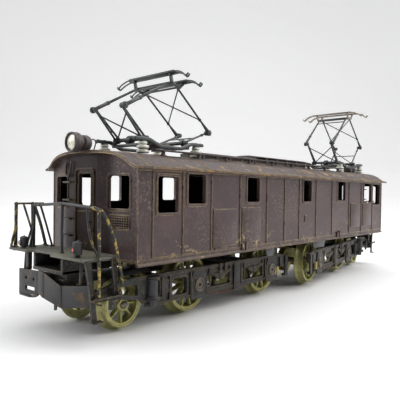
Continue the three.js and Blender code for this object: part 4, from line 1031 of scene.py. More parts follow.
        # brake hangers, shoes and the low pull rod beside the driving wheels
        for x, d in ((-10.4, 1), (26.0, -1)):
            xs = x + d * 9.35
            pts = [(xs + d * 0.3, s * 11.55, 12.0), (xs + d * 0.1, s * 11.55, 9.0), (xs - d * 0.4, s * 11.55, 6.6), (xs - d * 1.0, s * 11.55, 4.7)]
            bar(mb, pts, 0.9, 0.5, (1, 0, 0), 4, 0.08)
            rod(mb, (xs - d * 0.1, s * 11.0, 9.0), (xs - d * 0.1, s * 12.7, 9.0), 0.35, 10)
            rod(mb, (xs + d * 0.3, s * 11.0, 12.0), (xs + d * 0.3, s * 12.7, 12.0), 0.35, 10)
        # bolster ends
        for x in (-1.2, 1.2):
            box(mb, x - 0.45, x + 0.45, *sorted((s * 12.4, s * 14.4)), 11.6, 13.75, 0.1)
    rust = Mesh()
    rust.T = T
    for s in (-1, 1):
        bar(rust, [(-1.9, s * 11.3, 4.9), (3.0, s * 11.3, 4.4), (9.0, s * 11.3, 4.4), (15.9, s * 11.3, 4.9)], 0.5, 0.8, (0, 0, 1), 4, 0.08)
        bar(rust, [(-4.4, s * 11.9, 5.1), (-1.0, s * 11.7, 5.0), (2.2, s * 11.5, 4.5)], 0.5, 0.6, (0, 0, 1), 4, 0.06)
        for x in (-1.9, 3.0, 9.0, 15.9):
            rod(rust, (x, s * 10.9, 4.6 if 0 < x < 10 else 4.9), (x, s * 11.8, 4.6 if 0 < x < 10 else 4.9), 0.42, 12)
    for x in (3.0, 9.0):  # cross rods between the two sides
        rod(rust, (x, -11.3, 4.5), (x, 11.3, 4.5), 0.34, 10)
    # cross members, spine, bolster socket
    box(mb, -1.0, 3.6, -12.75, 12.75, 12.0, 13.3, 0.15)
    box(mb, 12.2, 15.8, -12.75, 12.75, 12.0, 13.3, 0.15)
    if powered:
        box(mb, -46.2, 2.7, -3.6, 3.6, 12.0, 13.3, 0.12)
        for s in (-1, 1):
            box(mb, 2.6, 16.0, *sorted((s * 1.4, s * 3.6)), 12.0, 13.3, 0.1)
    else:
        box(mb, -46.2, 16.0, -3.6, 3.6, 12.0, 13.3, 0.12)
    box(mb, -44.4, -42.4, -12.75, 12.75, 9.9, 11.6, 0.15)
    box(mb, -44.4, -42.4, -3.2, 3.2, 9.8, 12.6, 0.12)
    lathe(mb, fillet([(1.44, 14.2), (1.44, 16.85), (1.7, 16.95), (3.1, 16.95), (3.4, 16.7), (3.4, 13.1), (1.44, 13.1)], 0.1) + [(1.44, 13.1)], 36, "z")
    box(mb, -46.0, -41.5, -4.4, 4.4, 13.0, 14.85, 0.15)
    for s in (-1, 1):
        y0, y1 = sorted((s * 4.6, s * 6.2))
        prism(mb, closed_fillet([(-35.8, 13.2), (-35.8, 6.2), (-35.0, 4.95), (-32.6, 4.95), (-31.8, 6.2), (-31.8, 13.2)], 0.5, 3), "y", y0, y1, [[(-33.8 + 1.08 * math.cos(2 * PI * i / 24), 6.55 + 1.08 * math.sin(2 * PI * i / 24)) for i in range(24)]], 0.1)
        box(mb, -35.8, -31.8, *sorted((s * 3.0, s * 5.0)), 12.0, 13.25, 0.1)
    piece("truck_frame_" + tag + "_castings", mb, [M_FRAME, M_COVER, M_DARK, M_CYL, M_BRASS], body, ["truck_frame_" + tag])
    piece("brake_rods_" + tag, rust, [M_RUST], body, [])

    # ---- deck and coupler pocket
    mb = Mesh()
    mb.T = T
    out = closed_fillet([(-49.9, 15.6), (-49.9, 6.9), (-48.2, 6.3), (-47.9, -2.2), (-48.5, -3.0), (-49.9, -3.6), (-49.9, -15.6), (-39.4, -15.6), (-39.4, 15.6)], 0.35, 3)
    prism(mb, out, "z", 19.12, 19.66, (), 0.12)
    for i in range(1, 7):  # plank lines as raised tread strips
        x = -48.0 + i * 1.25
        for y0, y1 in ((-15.0, -0.4), (0.4, 15.0)):
            box(mb, x - 0.05, x + 0.05, y0, y1, 19.6, 19.72, 0.02)
    for s in (-1, 1):
        box(mb, -49.0, -39.8, *sorted((s * 14.6, s * 15.1)), 18.75, 19.2, 0.08)
    box(mb, -48.3, -41.0, -6.4, -5.5, 15.05, 19.2, 0.12, 1)
    box(mb, -48.3, -41.0, 5.5, 6.4, 15.05, 19.2, 0.12, 1)
    box(mb, -48.4, -41.0, -6.4, 6.4, 15.0, 15.85, 0.12, 1)
    box(mb, -42.2, -41.0, -6.0, 6.0, 15.1, 19.2, 0.1, 1)
    box(mb, -48.1, -41.5, -5.6, 5.6, 15.8, 15.95, 0.02, 2)
    lathe(mb, fillet([(0, 15.9), (1.2, 15.9), (1.2, 16.5), (0.7, 16.6), (0.7, 18.6), (0, 18.6)], 0.05), 20, "z", (-43.9, 0, 0), 2)
    piece("deck_" + tag + "_plates", mb, [M_DECK, M_FRAME, M_DARK], body, ["deck_" + tag])

    # ---- pilot plates
    mb = Mesh()
    mb.T = T

    def sheet(a, b, z0a, z1a, z0b, z1b, t=0.55, holes=()):
        A, B = Vector((*a, 0)), Vector((*b, 0))
        d = (B - A).normalized()
        n = Vector((-d.y, d.x, 0))
        L = (B - A).length
        keep = mb.T
        mb.T = keep @ Matrix(((d.x, n.x, 0, A.x), (d.y, n.y, 0, A.y), (0, 0, 1, 0), (0, 0, 0, 1)))
        prism(mb, closed_fillet([(0, z0a), (L, z0b), (L, z1b), (0, z1a)], 0.3, 3), "y", 0, t, holes, 0.1)
        mb.T = keep

    circ = lambda u, z, r: [(u + r * math.cos(2 * PI * i / 16), z + r * math.sin(2 * PI * i / 16)) for i in range(16)]
    sheet((-46.9, 5.7), (-46.9, 14.75), 8.5, 14.4, 7.8, 14.2, 0.6, [circ(5.5, 12.2, 0.42), circ(1.9, 12.2, 0.42), [(1.5, 9.2), (5.9, 9.2), (5.9, 10.2), (1.5, 10.2)]])
    sheet((-47.4, 2.4), (-46.85, 5.9), 8.4, 14.7, 9.2, 14.6, 0.6)
    sheet((-47.2, -4.9), (-47.3, 2.6), 7.2, 12.2, 8.4, 14.7, 0.6)
    sheet((-45.6, -13.4), (-47.1, -4.7), 8.5, 13.3, 7.1, 12.3, 0.6)
    box(mb, -47.6, -46.6, 9.5, 14.5, 7.4, 7.9, 0.12)
    bar(mb, [(-47.1, 9.6, 7.65), (-47.2, 7.4, 8.0), (-47.2, 6.0, 8.6)], 0.6, 0.35, (1, 0, 0), 3)
    # tongue hanging from the middle plate
    bar(mb, [(-46.9, -1.5, 8.2), (-47.1, -1.7, 7.2), (-47.3, -2.0, 6.2)], 0.9, 0.4, (1, 0, 0), 3)
    box(mb, -47.3, -44.8, 3.2, 4.4, 10.4, 11.6, 0.1)
    # stays behind the plates, a hook by the centre and the lower stub
    box(mb, -46.6, -44.4, 13.2, 14.4, 10.4, 11.6, 0.12)
    box(mb, -46.4, -44.4, -12.6, -11.4, 8.6, 10.0, 0.12)
    rod(mb, (-46.8, -5.6, 8.9), (-44.2, -5.6, 9.3), 0.4, 10)
    box(mb, -46.7, -45.6, 11.6, 13.0, 14.0, 19.1, 0.12)  # flat hangers between the deck and the plates
    rod(mb, (-46.3, 14.0, 14.0), (-46.0, 13.9, 19.1), 0.32, 10)
    rod(mb, (-46.0, -9.9, 12.6), (-45.6, -9.9, 19.1), 0.38, 10)
    bar(mb, [(-46.55, -9.6, 8.2), (-46.45, -9.6, 10.6), (-46.4, -9.6, 12.7)], 0.3, 0.3, (1, 0, 0), 1)
    for y, z in ((-12.4, 11.4), (-6.2, 10.6), (-3.6, 10.4), (1.2, 12.6)):
        rivet(mb, (-47.28 + (0.17 * (abs(y) - 4.7) if y < -5 else 0), y, z), (-1, 0, 0), 0.22)
    piece("pilot_" + tag + "_plates", mb, [M_PILOT], body, ["pilot_" + tag])

    # ---- railings
    z0, rz = 19.7, 30.7
    mb = Mesh()
    mb.T = T
    bar(mb, [(-48.6, 15.2, rz), (-45.0, 14.4, rz + 0.05), (-41.4, 13.55, rz + 0.05)], 0.7, 0.5, (0, 0, 1), 4, 0.12)
    wire(mb, [(-48.2, 15.1, z0), (-48.25, 15.1, 25.5), (-48.2, 15.1, rz)], 0.42)
    wire(mb, [(-49.4, 15.3, z0), (-49.0, 15.25, 21.8), (-48.3, 15.12, 24.6)], 0.32)
    wire(mb, [(-48.7, 15.0, z0), (-48.5, 15.05, 21.6), (-48.2, 15.1, 24.0)], 0.26)
    wire(mb, [(-44.2, 14.2, z0), (-44.1, 14.2, 25.0), (-44.2, 14.2, rz - 0.1)], 0.42)
    wire(mb, [(-45.6, 14.5, z0), (-45.1, 14.4, 21.8), (-44.3, 14.22, 24.4)], 0.32)
    wire(mb, [(-46.4, 14.7, rz - 0.2), (-45.2, 14.4, 26.5), (-44.3, 14.2, 23.4)], 0.27)
    wire(mb, [(-43.9, 14.1, rz - 0.5), (-42.2, 14.0, 25.5), (-40.3, 14.6, z0)], 0.27)
    for x, y in ((-48.2, 15.1), (-44.2, 14.2), (-49.4, 15.25), (-45.6, 14.5), (-40.35, 14.5)):
        lathe(mb, [(0, 19.6), (0.62, 19.6), (0.6, 19.85), (0.45, 19.98), (0, 20.0)], 14, "z", (x if x > -49.2 else -49.15, y if y < 15 else 14.95, 0), 0)
    for p in ((-48.22, 15.1, 24.4), (-44.2, 14.2, 24.2), (-48.2, 15.1, rz - 0.05), (-44.2, 14.2, rz - 0.05)):
        ball(mb, p, 0.5, 0, 12)  # solder
    piece("railing_left_" + tag + "_bars", mb, [M_RAIL], body, ["railing_left_" + tag])
    mb = Mesh()
    mb.T = T
    wire(mb, [(-44.6, 12.6, rz - 0.35), (-45.4, 4, rz + 0.1), (-46.6, -3.4, rz + 0.5), (-46.4, -10.5, rz + 0.1), (-46.0, -15.0, rz - 0.2)], 0.36, 12, 8)
    wire(mb, [(-46.7, -3.5, z0), (-46.75, -3.45, 25), (-46.6, -3.4, rz + 0.5)], 0.36)
    wire(mb, [(-44.6, 12.6, rz - 0.35), (-44.75, 12.4, 25.0), (-44.9, 12.2, z0)], 0.36)
    wire(mb, [(-46.1, 12.1, z0), (-45.5, 12.2, 22.0), (-44.8, 12.35, 25.0)], 0.3)
    wire(mb, [(-44.5, 12.3, rz - 0.6), (-43.0, 12.0, 25.5), (-41.2, 12.4, z0)], 0.26)
    wire(mb, [(-45.0, 9.0, rz - 0.15), (-43.0, 9.6, 25.6), (-40.6, 10.6, z0)], 0.27)
    wire(mb, [(-46.0, -15.0, rz - 0.2), (-45.82, -15.9, rz - 0.65), (-45.75, -16.25, rz - 1.6), (-45.6, -16.25, 20.0), (-45.6, -16.25, 10.9)], 0.38, 12, 6)
    wire(mb, [(-46.0, -15.0, rz - 0.2), (-44.9, -16.1, rz - 0.9), (-43.4, -16.25, 27.6), (-41.6, -16.25, 23.8), (-39.9, -16.25, 17.6), (-39.2, -16.25, 13.6), (-39.8, -16.25, 10.9)], 0.36, 12, 6)
    wire(mb, [(-46.3, -12.6, rz - 0.1), (-46.2, -13.4, 25.0), (-45.9, -14.3, 22.4), (-45.0, -14.9, z0)], 0.28)
    for p in ((-46.6, -3.4, rz + 0.42), (-46.0, -15.0, rz - 0.25), (-45.0, 9.0, rz - 0.2), (-44.6, 12.6, rz - 0.4)):
        ball(mb, p, 0.5, 0, 12)
    for x, y in ((-46.7, -3.5), (-44.9, 12.2), (-46.1, 12.1), (-41.2, 12.4), (-40.6, 10.6), (-45.0, -14.9)):
        lathe(mb, [(0, 19.6), (0.6, 19.6), (0.58, 19.85), (0.43, 19.98), (0, 20.0)], 14, "z", (x, y, 0), 0)
    for x in (-45.6, -39.8):
        box(mb, x - 0.35, x + 0.35, -16.55, -15.6, 11.0, 11.5, 0.1)
    piece("railing_right_" + tag + "_bars", mb, [M_RAIL], body, ["railing_right_" + tag])

    # ---- marker lamps
    for n, x, y, r, h in (("left", -48.2, 11.2, 1.0, 2.9), ("right", -48.4, -12.2, 1.1, 3.5)):
        mb = Mesh()
        mb.T = T
        zb = 19.8
        lathe(mb, fillet([(0, zb), (0.75, zb), (0.75, zb + 0.12), (0.55, zb + 0.2), (0.55, zb + 0.42), (r * 0.96, zb + 0.46), (r, zb + 0.6), (r * 0.93, zb + 0.72), (r * 0.93, zb + h - 0.62), (r, zb + h - 0.5), (r * 0.98, zb + h - 0.34), (r * 0.7, zb + h - 0.12), (r * 0.4, zb + h), (0, zb + h)], 0.05), 32, "z", (x, y, 0))
        zl = zb + h * 0.45
        k = r + 0.2
        lathe(mb, [(0.42, -k), (0.54, -k - 0.02), (0.6, -k + 0.1), (0.6, -0.3), (0.42, -0.3)], 24, "x", (x, y, zl))
        lathe(mb, [(0, -k - 0.04), (0.26, -k - 0.02), (0.44, -k + 0.1), (0.44, -k + 0.3), (0, -k + 0.3)], 20, "x", (x, y, zl), 1)
        wire(mb, [(x + 0.1, y - 0.6, zb + h - 0.2), (x + 0.1, y, zb + h + 0.12), (x + 0.1, y + 0.6, zb + h - 0.2)], 0.1, 8, 6)
        piece("marker_lamp_" + n + "_" + tag + "_can", mb, [M_WIRE, M_RED], body, ["marker_lamp_" + n + "_" + tag])

    # ---- steps
    for n, s in (("left", 1), ("right", -1)):
        if n == "left" and tag == "front":
            continue
        mb = Mesh()
        mb.T = T
        y0, y1 = sorted((s * 14.9, s * 15.45))
        prism(mb, closed_fillet([(-48.6, 19.0), (-47.1, 19.0), (-46.0, 11.2), (-45.3, 5.4), (-46.7, 5.4), (-47.2, 11)], 0.25, 3), "y", y0, y1, (), 0.12)
        prism(mb, closed_fillet([(-41.5, 19.0), (-40.2, 19.0), (-39.3, 10.2), (-40.6, 10.2)], 0.25, 3), "y", y0, y1, (), 0.12)
        a, b = sorted((s * 14.9, s * 16.9))
        box(mb, -47.2, -39.3, a, b, 10.25, 10.6, 0.08)
        a, b = sorted((s * 16.6, s * 16.9))
        box(mb, -47.2, -39.3, a, b, 10.25, 11.0, 0.06)
        a, b = sorted((s * 14.9, s * 16.5))
        box(mb, -46.9, -44.2, a, b, 5.4, 5.75, 0.08)
        bar(mb, [(-46.4, s * 15.1, 10.4), (-44.5, s * 14.9, 9.0), (-43.2, s * 14.0, 8.7)], 0.5, 0.3, (0, 0, 1), 3)
        for x, z in ((-47.7, 18.2), (-40.8, 18.2), (-46.5, 11.6), (-40.1, 11.6)):
            rivet(mb, (x, s * 15.45, z), (0, s, 0), 0.2)
        piece("steps_" + n + "_" + tag + "_plates", mb, [M_FRAME], body, ["steps_" + n + "_" + tag])

    # ---- wheelsets
    for kind, x, z, tr, fl, sp in (("lead", -33.8, 6.55, 5.55, 6.55, 8), ("outer", -10.4, 8.8, 7.8, 8.8, 12), ("inner", 26.0, 8.8, 7.8, 8.8, 12)):
        name = "wheelset_" + kind + "_" + tag
        mb = wheelset_mesh(T, x, z, tr, fl, sp, "geared" if powered and kind == "inner" else kind)
        piece(name + "_spoked", mb, [M_WHEEL, M_STEEL, M_DARK, M_BRASS], name, [name], 35)

    # ---- motor and worm
    if powered:
        mb = Mesh()
        mb.T = T
        for s in (-1, 1):
            box(mb, 5.2, 15.2, *sorted((s * 4.4, s * 6.5)), 13.6, 37.8, 0.3)
        box(mb, 5.2, 15.2, -4.6, 4.6, 24.0, 37.9, 0.3)
        for x in (4.7, 14.9):
            prism(mb, rounded(-6.3, 6.3, 13.5, 26.4, 1.2), "x", x, x + 0.6, [circ(0, 15.5, 1.25)], 0.08, 1)
        lathe(mb, fillet([(1.1, 4.05), (1.9, 4.05), (1.9, 4.9), (1.1, 4.9)], 0.08) + [(1.1, 4.9)], 28, "x", (0, 0, 15.5), 3)
        lathe(mb, fillet([(1.1, 15.4), (1.9, 15.4), (1.9, 16.5), (1.1, 16.5)], 0.08) + [(1.1, 16.5)], 28, "x", (0, 0, 15.5), 3)
        for k in range(9):  # armature windings
            a = 2 * PI * k / 9
            c, s = math.cos(a), math.sin(a)
            wire(mb, [(6.0, 1.9 * c, 20.6 + 1.9 * s), (10.2, 2.5 * c, 20.6 + 2.5 * s), (14.2, 1.9 * c, 20.6 + 1.9 * s)], 0.6, 8, 4, 2)
        lathe(mb, [(0, 6.0), (1.9, 6.0), (1.9, 14.2), (0, 14.2)], 28, "x", (0, 0, 20.6), 1)
        for s in (-1, 1):
            rod(mb, (4.3, s * 3.6, 20.5), (4.3, s * 5.6, 20.5), 0.6, 14, 3)
            rivet(mb, (4.68, s * 5.2, 23.2), (-1, 0, 0), 0.5, 3, 12)
            wire(mb, [(4.3, s * 5.0, 20.9), (3.4, s * 5.4, 22.4), (2.6, s * 4.8, 23.8), (3.8, s * 3.0, 24.6)], 0.28, 8, 6, 2)
        piece("motor_" + tag + "_open_frame", mb, [M_FRAME, M_STEEL, M_COPPER, M_BRASS], body, ["motor_" + tag])
        mb = Mesh()
        mb.T = T
        lathe(mb, [(0, 3.25), (0.7, 3.25), (0.98, 3.5), (0.98, 21.5), (1.3, 21.6), (1.3, 30.4), (0.98, 30.5), (0.98, 31.3), (0.7, 31.5), (0, 31.5)], 24, "x", (0, 0, 15.5), 1)
        pts = []
        turns, x0, x1 = 7, 22.0, 30.0
        nn = turns * 16
        for i in range(nn + 1):
            a = 2 * PI * i / 16
            pts.append((x0 + (x1 - x0) * i / nn, 1.5 * math.cos(a), 15.5 + 1.5 * math.sin(a)))
        sweep(mb, pts, [(-0.36, -0.4), (0.36, -0.4), (0.16, 0.42), (-0.16, 0.42)], 0, None, (0, 1, 0))
        piece("worm_shaft_" + tag + "_thread", mb, [M_BRASS, M_STEEL], "worm_shaft_" + tag, ["worm_shaft_" + tag])


M_COVER = worn_paint("axle_cover", lin(62, 56, 48), lin(84, 75, 60), rough=0.45, wear=0.8, patch=0.62, edge_mm=0.2, grime=lin(60, 54, 46), brass=lin(150, 130, 84), streak=False)
M_CYL = worn_paint("cylinder_black", lin(36, 37, 39), lin(50, 51, 54), rough=0.42, wear=1.1, patch=0.74, edge_mm=0.14, grime=lin(38, 37, 36), brass=lin(150, 126, 84), streak=False)
truck("front", Matrix.Translation((-38.6, 0, 0)), "truck_front", False)
truck("rear", Matrix.Translation((38.6, 0, 0)) @ Matrix.Rotation(PI + math.radians(8), 4, "Z"), "truck_rear", True)

# ------------------------------------------------------------------ pantographs
PAN = {
    "front": (-54.5, (-69.637, 55.937), (-36.917, 52.17), (-52.332, 63.959), 17.8),
    "rear": (61.0, (46.415, 56.451), (75.585, 56.451), (61.0, 68.811), 0.0),
}
PZ = 48.3


def disc(mb, c, r, half, m=0, seg=24):
    """Turned knuckle about a cross axis, with a chamfer and a pin head on the outer side."""
    prof = [(0, -half), (r * 0.82, -half), (r, -half + 0.12), (r, half - 0.12), (r * 0.82, half), (r * 0.45, half), (r * 0.42, half + 0.1), (r * 0.3, half + 0.16), (0, half + 0.16)]
    s = 1 if c[1] > 0 else -1
    lathe(mb, [(q, s * h) for q, h in prof], seg, "y", c, m)


def pantograph(tag):
    xc, kf, kr, h, tilt = PAN[tag]
    body = "carbody"
    # ---- base: two dipped flat bars, cross bars, bearing posts and feet
    mb = Mesh()
    rail = [(-13.2, 47.4), (-8.3, 47.4), (-4.3, 45.8), (4.3, 45.8), (8.3, 47.4), (13.2, 47.4), (13.2, 48.35), (8.0, 48.35), (4.0, 46.75), (-4.0, 46.75), (-8.0, 48.35), (-13.2, 48.35)]
    for s in (-1, 1):
        y0, y1 = sorted((s * 7.5, s * 8.5))
        prism(mb, closed_fillet([(x + xc, z) for x, z in rail], 0.55, 4), "y", y0, y1, (), 0.16)
        for x in (-12.2, -10.2, 10.2, 12.2):
            rivet(mb, (xc + x, s * 8.0, 48.33), (0, 0, 1), 0.3 if abs(x) < 11 else 0.2)
        for k in (-1, 1):
            x = xc + k * 7.5
            box(mb, x - 0.5, x + 0.5, *sorted((s * 6.2, s * 6.9)), 46.4, 48.4, 0.1)
            disc(mb, (x, s * 6.55, PZ), 0.72, 0.36)
            box(mb, x - 0.55, x + 0.55, *sorted((s * 6.5, s * 7.7)), 47.0, 47.75, 0.1)
            # foot under the rail, on the insulator cap
            xi = xc + k * 10.2
            lathe(mb, [(0, 47.1), (1.0, 47.1), (1.05, 47.25), (0.9, 47.42), (0, 47.42)], 20, "z", (xi, s * 8.0, 0))
        rod(mb, (xc - 12.9, s * 8.0, 47.2), (xc - 12.9, s * 8.0, 48.3), 0.24, 8)
    for k in (-1, 1):
        box(mb, xc + k * 7.5 - 0.45, xc + k * 7.5 + 0.45, -7.6, 7.6, 46.35, 47.2, 0.12)
    # spring barrels between the shafts
    for s in (-1, 1):
        rod(mb, (xc - 6.4, s * 2.6, 47.3), (xc + 6.4, s * 2.6, 47.3), 0.3, 12)
        n = 26
        pts = [(xc - 4.6 + 9.2 * i / (n * 6), s * 2.6 + 0.52 * math.cos(2 * PI * i / 6), 47.3 + 0.52 * math.sin(2 * PI * i / 6)) for i in range(n * 6 + 1)]
        sweep(mb, pts, ring2(0.12, 5), 1)
    piece("pantograph_base_" + tag + "_bars", mb, [M_PANTO, M_STEEL], body, ["pantograph_base_" + tag])
    i = 1
    for kx in (-1, 1):
        for ky in (1, -1):
            mb = Mesh()
            prof = [(0, 44.14), (1.5, 44.14), (1.6, 44.3), (1.64, 44.7), (1.5, 44.92), (1.05, 45.04), (0.98, 45.16), (1.2, 45.3), (1.62, 45.46), (1.66, 45.62), (1.62, 45.86), (1.5, 46.06), (1.06, 46.2), (0.98, 46.36), (1.15, 46.5), (1.18, 46.8), (1.05, 47.02), (0.9, 47.14), (0, 47.16)]
            lathe(mb, prof, 40, "z", (xc + kx * 10.2, ky * 8.0, 0))
            piece("insulator_%d_%s_ribbed" % (i, tag), mb, [M_CERAMIC], body, ["insulator_%d_%s" % (i, tag)], 60)
            i += 1

    # ---- lower arms
    for nm, px, kn, heavy in (("front", xc - 7.5, kf, True), ("rear", xc + 7.5, kr, False)):
        mb = Mesh()
        K = Vector((kn[0], 0, kn[1]))
        S = Vector((px, 0, PZ))
        d = (K - S).normalized()
        side = Vector((-d.z, 0, d.x)) if d.x > 0 else Vector((d.z, 0, -d.x))
        at = lambda u, y, off=0.0: tuple(S.lerp(K, u) + side * off + Vector((0, y, 0)))
        rod(mb, (px, -6.0, PZ), (px, 6.0, PZ), 0.55, 20)
        for s in (-1, 1):
            disc(mb, (px, s * 5.45, PZ), 0.95, 0.42)
            disc(mb, (kn[0], s * 5.58, kn[1]), 0.72, 0.42)
            if heavy:  # a pair of rods that spread from the knee to the shaft
                rod(mb, at(0.0, s * 5.45, 0.55), at(0.97, s * 5.55, 0.12), 0.3, 12)
                rod(mb, at(0.0, s * 5.45, -0.55), at(0.97, s * 5.55, -0.12), 0.3, 12)
                for u in (0.3, 0.62):
                    box_at = at(u, s * 5.5)
                    ball(mb, box_at, 0.5, 0, 12, 1.0, 0.7, 0.8)
            else:
                rod(mb, at(0.0, s * 5.42), at(1.0, s * 5.55), 0.36, 12, 0, 0.26)
            ball(mb, at(0.8, s * 5.52), 0.46, 0, 12)
        # crossing stays
        if heavy:
            rod(mb, at(0.04, -5.2), at(0.8, 5.4), 0.22, 10)
            rod(mb, at(0.04, 5.2), at(0.8, -5.4), 0.22, 10)
            lathe(mb, fillet([(0, -0.9), (1.0, -0.9), (1.1, -0.6), (1.1, 0.6), (1.0, 0.9), (0, 0.9)], 0.08), 20, "y", (px, 0, PZ))
        else:
            rod(mb, at(0.04, -5.2), at(0.78, 5.4), 0.2, 10)
            rod(mb, at(0.5, 5.4), at(0.5, -5.4), 0.2, 10)
        # crank on the shaft
        bar(mb, [(px, 2.6, PZ), (px + (0.9 if nm == "front" else -0.9), 2.6, PZ - 0.75)], 0.5, 0.5, (0, 1, 0), 1)
        piece("lower_arm_%s_%s_tubes" % (nm, tag), mb, [M_PANTO, M_SOLDER], "lower_arm_%s_%s" % (nm, tag), ["lower_arm_%s_%s" % (nm, tag)])

    # ---- upper arms
    c, sn = math.cos(math.radians(tilt)), math.sin(math.radians(tilt))
    tf = (h[0] - 1.5 * c, h[1] + 1.5 * sn)
    tr = (h[0] + 1.5 * c, h[1] - 1.5 * sn)
    for nm, kn, tp, heavy in (("front", kf, tf, True), ("rear", kr, tr, False)):
        mb = Mesh()
        K, Tp = Vector((kn[0], 0, kn[1])), Vector((tp[0], 0, tp[1]))
        at = lambda u, y: tuple(K.lerp(Tp, u) + Vector((0, y, 0)))
        for s in (-1, 1):
            disc(mb, (kn[0], s * 6.68, kn[1]), 0.88, 0.42)
            if heavy:
                rod(mb, at(0.03, s * 6.65), at(0.3, s * 6.65), 0.52, 14)
                rod(mb, at(0.28, s * 6.65), at(0.34, s * 6.65), 0.6, 14)
                rod(mb, at(0.32, s * 6.65), at(1.0, s * 6.6), 0.4, 14, 0, 0.34)
            else:
                rod(mb, at(0.03, s * 6.65), at(0.22, s * 6.65), 0.56, 14, 0, 0.34)
                rod(mb, at(0.2, s * 6.65), at(1.0, s * 6.6), 0.3, 12)
            ball(mb, at(0.3, s * 6.62), 0.5, 1 if heavy else 0, 12)
            ball(mb, at(0.96, s * 6.45), 0.44, 1, 12)
        rod(mb, (tp[0], -6.95, tp[1]), (tp[0], 6.95, tp[1]), 0.3, 12)
        if not heavy:
            rod(mb, at(0.3, -6.6), at(0.96, 6.4), 0.2, 10)
            rod(mb, at(0.3, 6.6), at(0.96, -6.4), 0.2, 10)
            ball(mb, at(0.63, 0), 0.34, 1, 12)
        if heavy:
            rod(mb, at(0.84, -6.6), at(0.84, 6.6), 0.22, 10)
            for s in (-1, 1):
                ball(mb, at(0.84, s * 6.5), 0.42, 1, 12)
        piece("upper_arm_%s_%s_tubes" % (nm, tag), mb, [M_PANTO, M_SOLDER], "upper_arm_%s_%s" % (nm, tag), ["upper_arm_%s_%s" % (nm, tag)])

    # ---- head: two channel shoes with slotted horns
    mb = Mesh()
    mb.T = Matrix.Translation((h[0], 0, h[1])) @ Matrix.Rotation(math.radians(tilt), 4, "Y")
    for k in (-1, 1):
        x = k * 2.7
        # shallow channel between the horns
        box(mb, x - 0.85, x + 0.85, -9.2, 9.2, 1.85, 2.2, 0.08)
        for e in (-1, 1):
            box(mb, x + e * 0.72 - 0.13, x + e * 0.72 + 0.13, -9.2, 9.2, 1.9, 2.42, 0.06)
        for y in (-6.2, -3.1, 0.0, 3.1, 6.2):
            rivet(mb, (x, y, 2.18), (0, 0, 1), 0.16)
        for s in (-1, 1):
            path = [(x, s * 8.9, 2.1), (x, s * 10.2, 1.97), (x, s * 11.4, 1.62), (x, s * 12.5, 1.12), (x, s * 13.3, 0.5), (x, s * 13.85, 0.1), (x, s * 14.25, 0.3), (x, s * 14.6, 0.85)]
            for e in (-1, 1):  # the two limbs of the slotted horn
                P = [(x + e * (0.58 - 0.22 * (i / 6) ** 2), p[1], p[2]) for i, p in enumerate(path)]
                bar(mb, P, 0.36, 0.42, (0, 0, 1), 4, 0.08)
            ball(mb, (x, s * 13.95, 0.1), 0.42, 0, 12, 1.2, 0.9, 0.6)
            box(mb, x - 0.8, x + 0.8, *sorted((s * 8.9, s * 9.7)), 1.8, 2.3, 0.12)
    for s in (-1, 1):  # end plates and the bearing for the arm tops
        y0, y1 = sorted((s * 7.15, s * 7.65))
        prism(mb, closed_fillet([(-3.3, 1.9), (-1.9, -0.5), (1.9, -0.5), (3.3, 1.9), (2.2, 1.9), (1.15, 0.3), (-1.15, 0.3), (-2.2, 1.9)], 0.2, 3), "y", y0, y1, (), 0.08)
        for k in (-1, 1):
            rivet(mb, (k * 1.5, s * 7.62, 0.0), (0, s, 0), 0.3)
    # the rear head takes a pale copy of the pantograph paint as painted light
    piece("contact_head_" + tag + "_shoes", mb, [M_PANTO if tag == "front" else M_SHOE_PAINTED_LIGHT, M_SOLDER], "contact_head_" + tag, ["contact_head_" + tag])


# painted light: a pale copy of the black pantograph paint, for the light that makes the far head look pale
M_SHOE_PAINTED_LIGHT = worn_paint("shoe_painted_light", lin(134, 126, 116), lin(160, 150, 138), rough=0.5, wear=0.2, patch=0.7, edge_mm=0.12, grime=lin(100, 93, 84), streak=False)
M_SOLDER = worn_paint("soldered_joint", lin(52, 54, 52), lin(78, 78, 70), rough=0.36, wear=0.9, patch=0.52, edge_mm=0.2, grime=lin(30, 31, 30), brass=lin(206, 192, 110), streak=False)
pantograph("front")
pantograph("rear")

# ------------------------------------------------------------------ gussets under the body
M_GUSSET = worn_paint("gusset_grey", lin(66, 66, 67), lin(84, 84, 84), rough=0.45, wear=0.4, patch=0.7, edge_mm=0.2, grime=lin(84, 82, 80), streak=False)
mb = Mesh()
for s in (-1, 1):
    for x0, x1 in ((-19.4, -13.6), (11.6, 21.9)):
        q = [(x0, 16.7), (x1, 16.7), (x1 - 1.2, 13.95), (x0 + 1.2, 13.95)]
        y0, y1 = sorted((s * 15.6, s * 16.2))
        q = q if s < 0 else [(-x, z) for x, z in q]
        prism(mb, closed_fillet(q, 0.2, 2), "y", y0, y1, (), 0.08)
piece("underframe_gussets", mb, [M_GUSSET], "carbody", [])

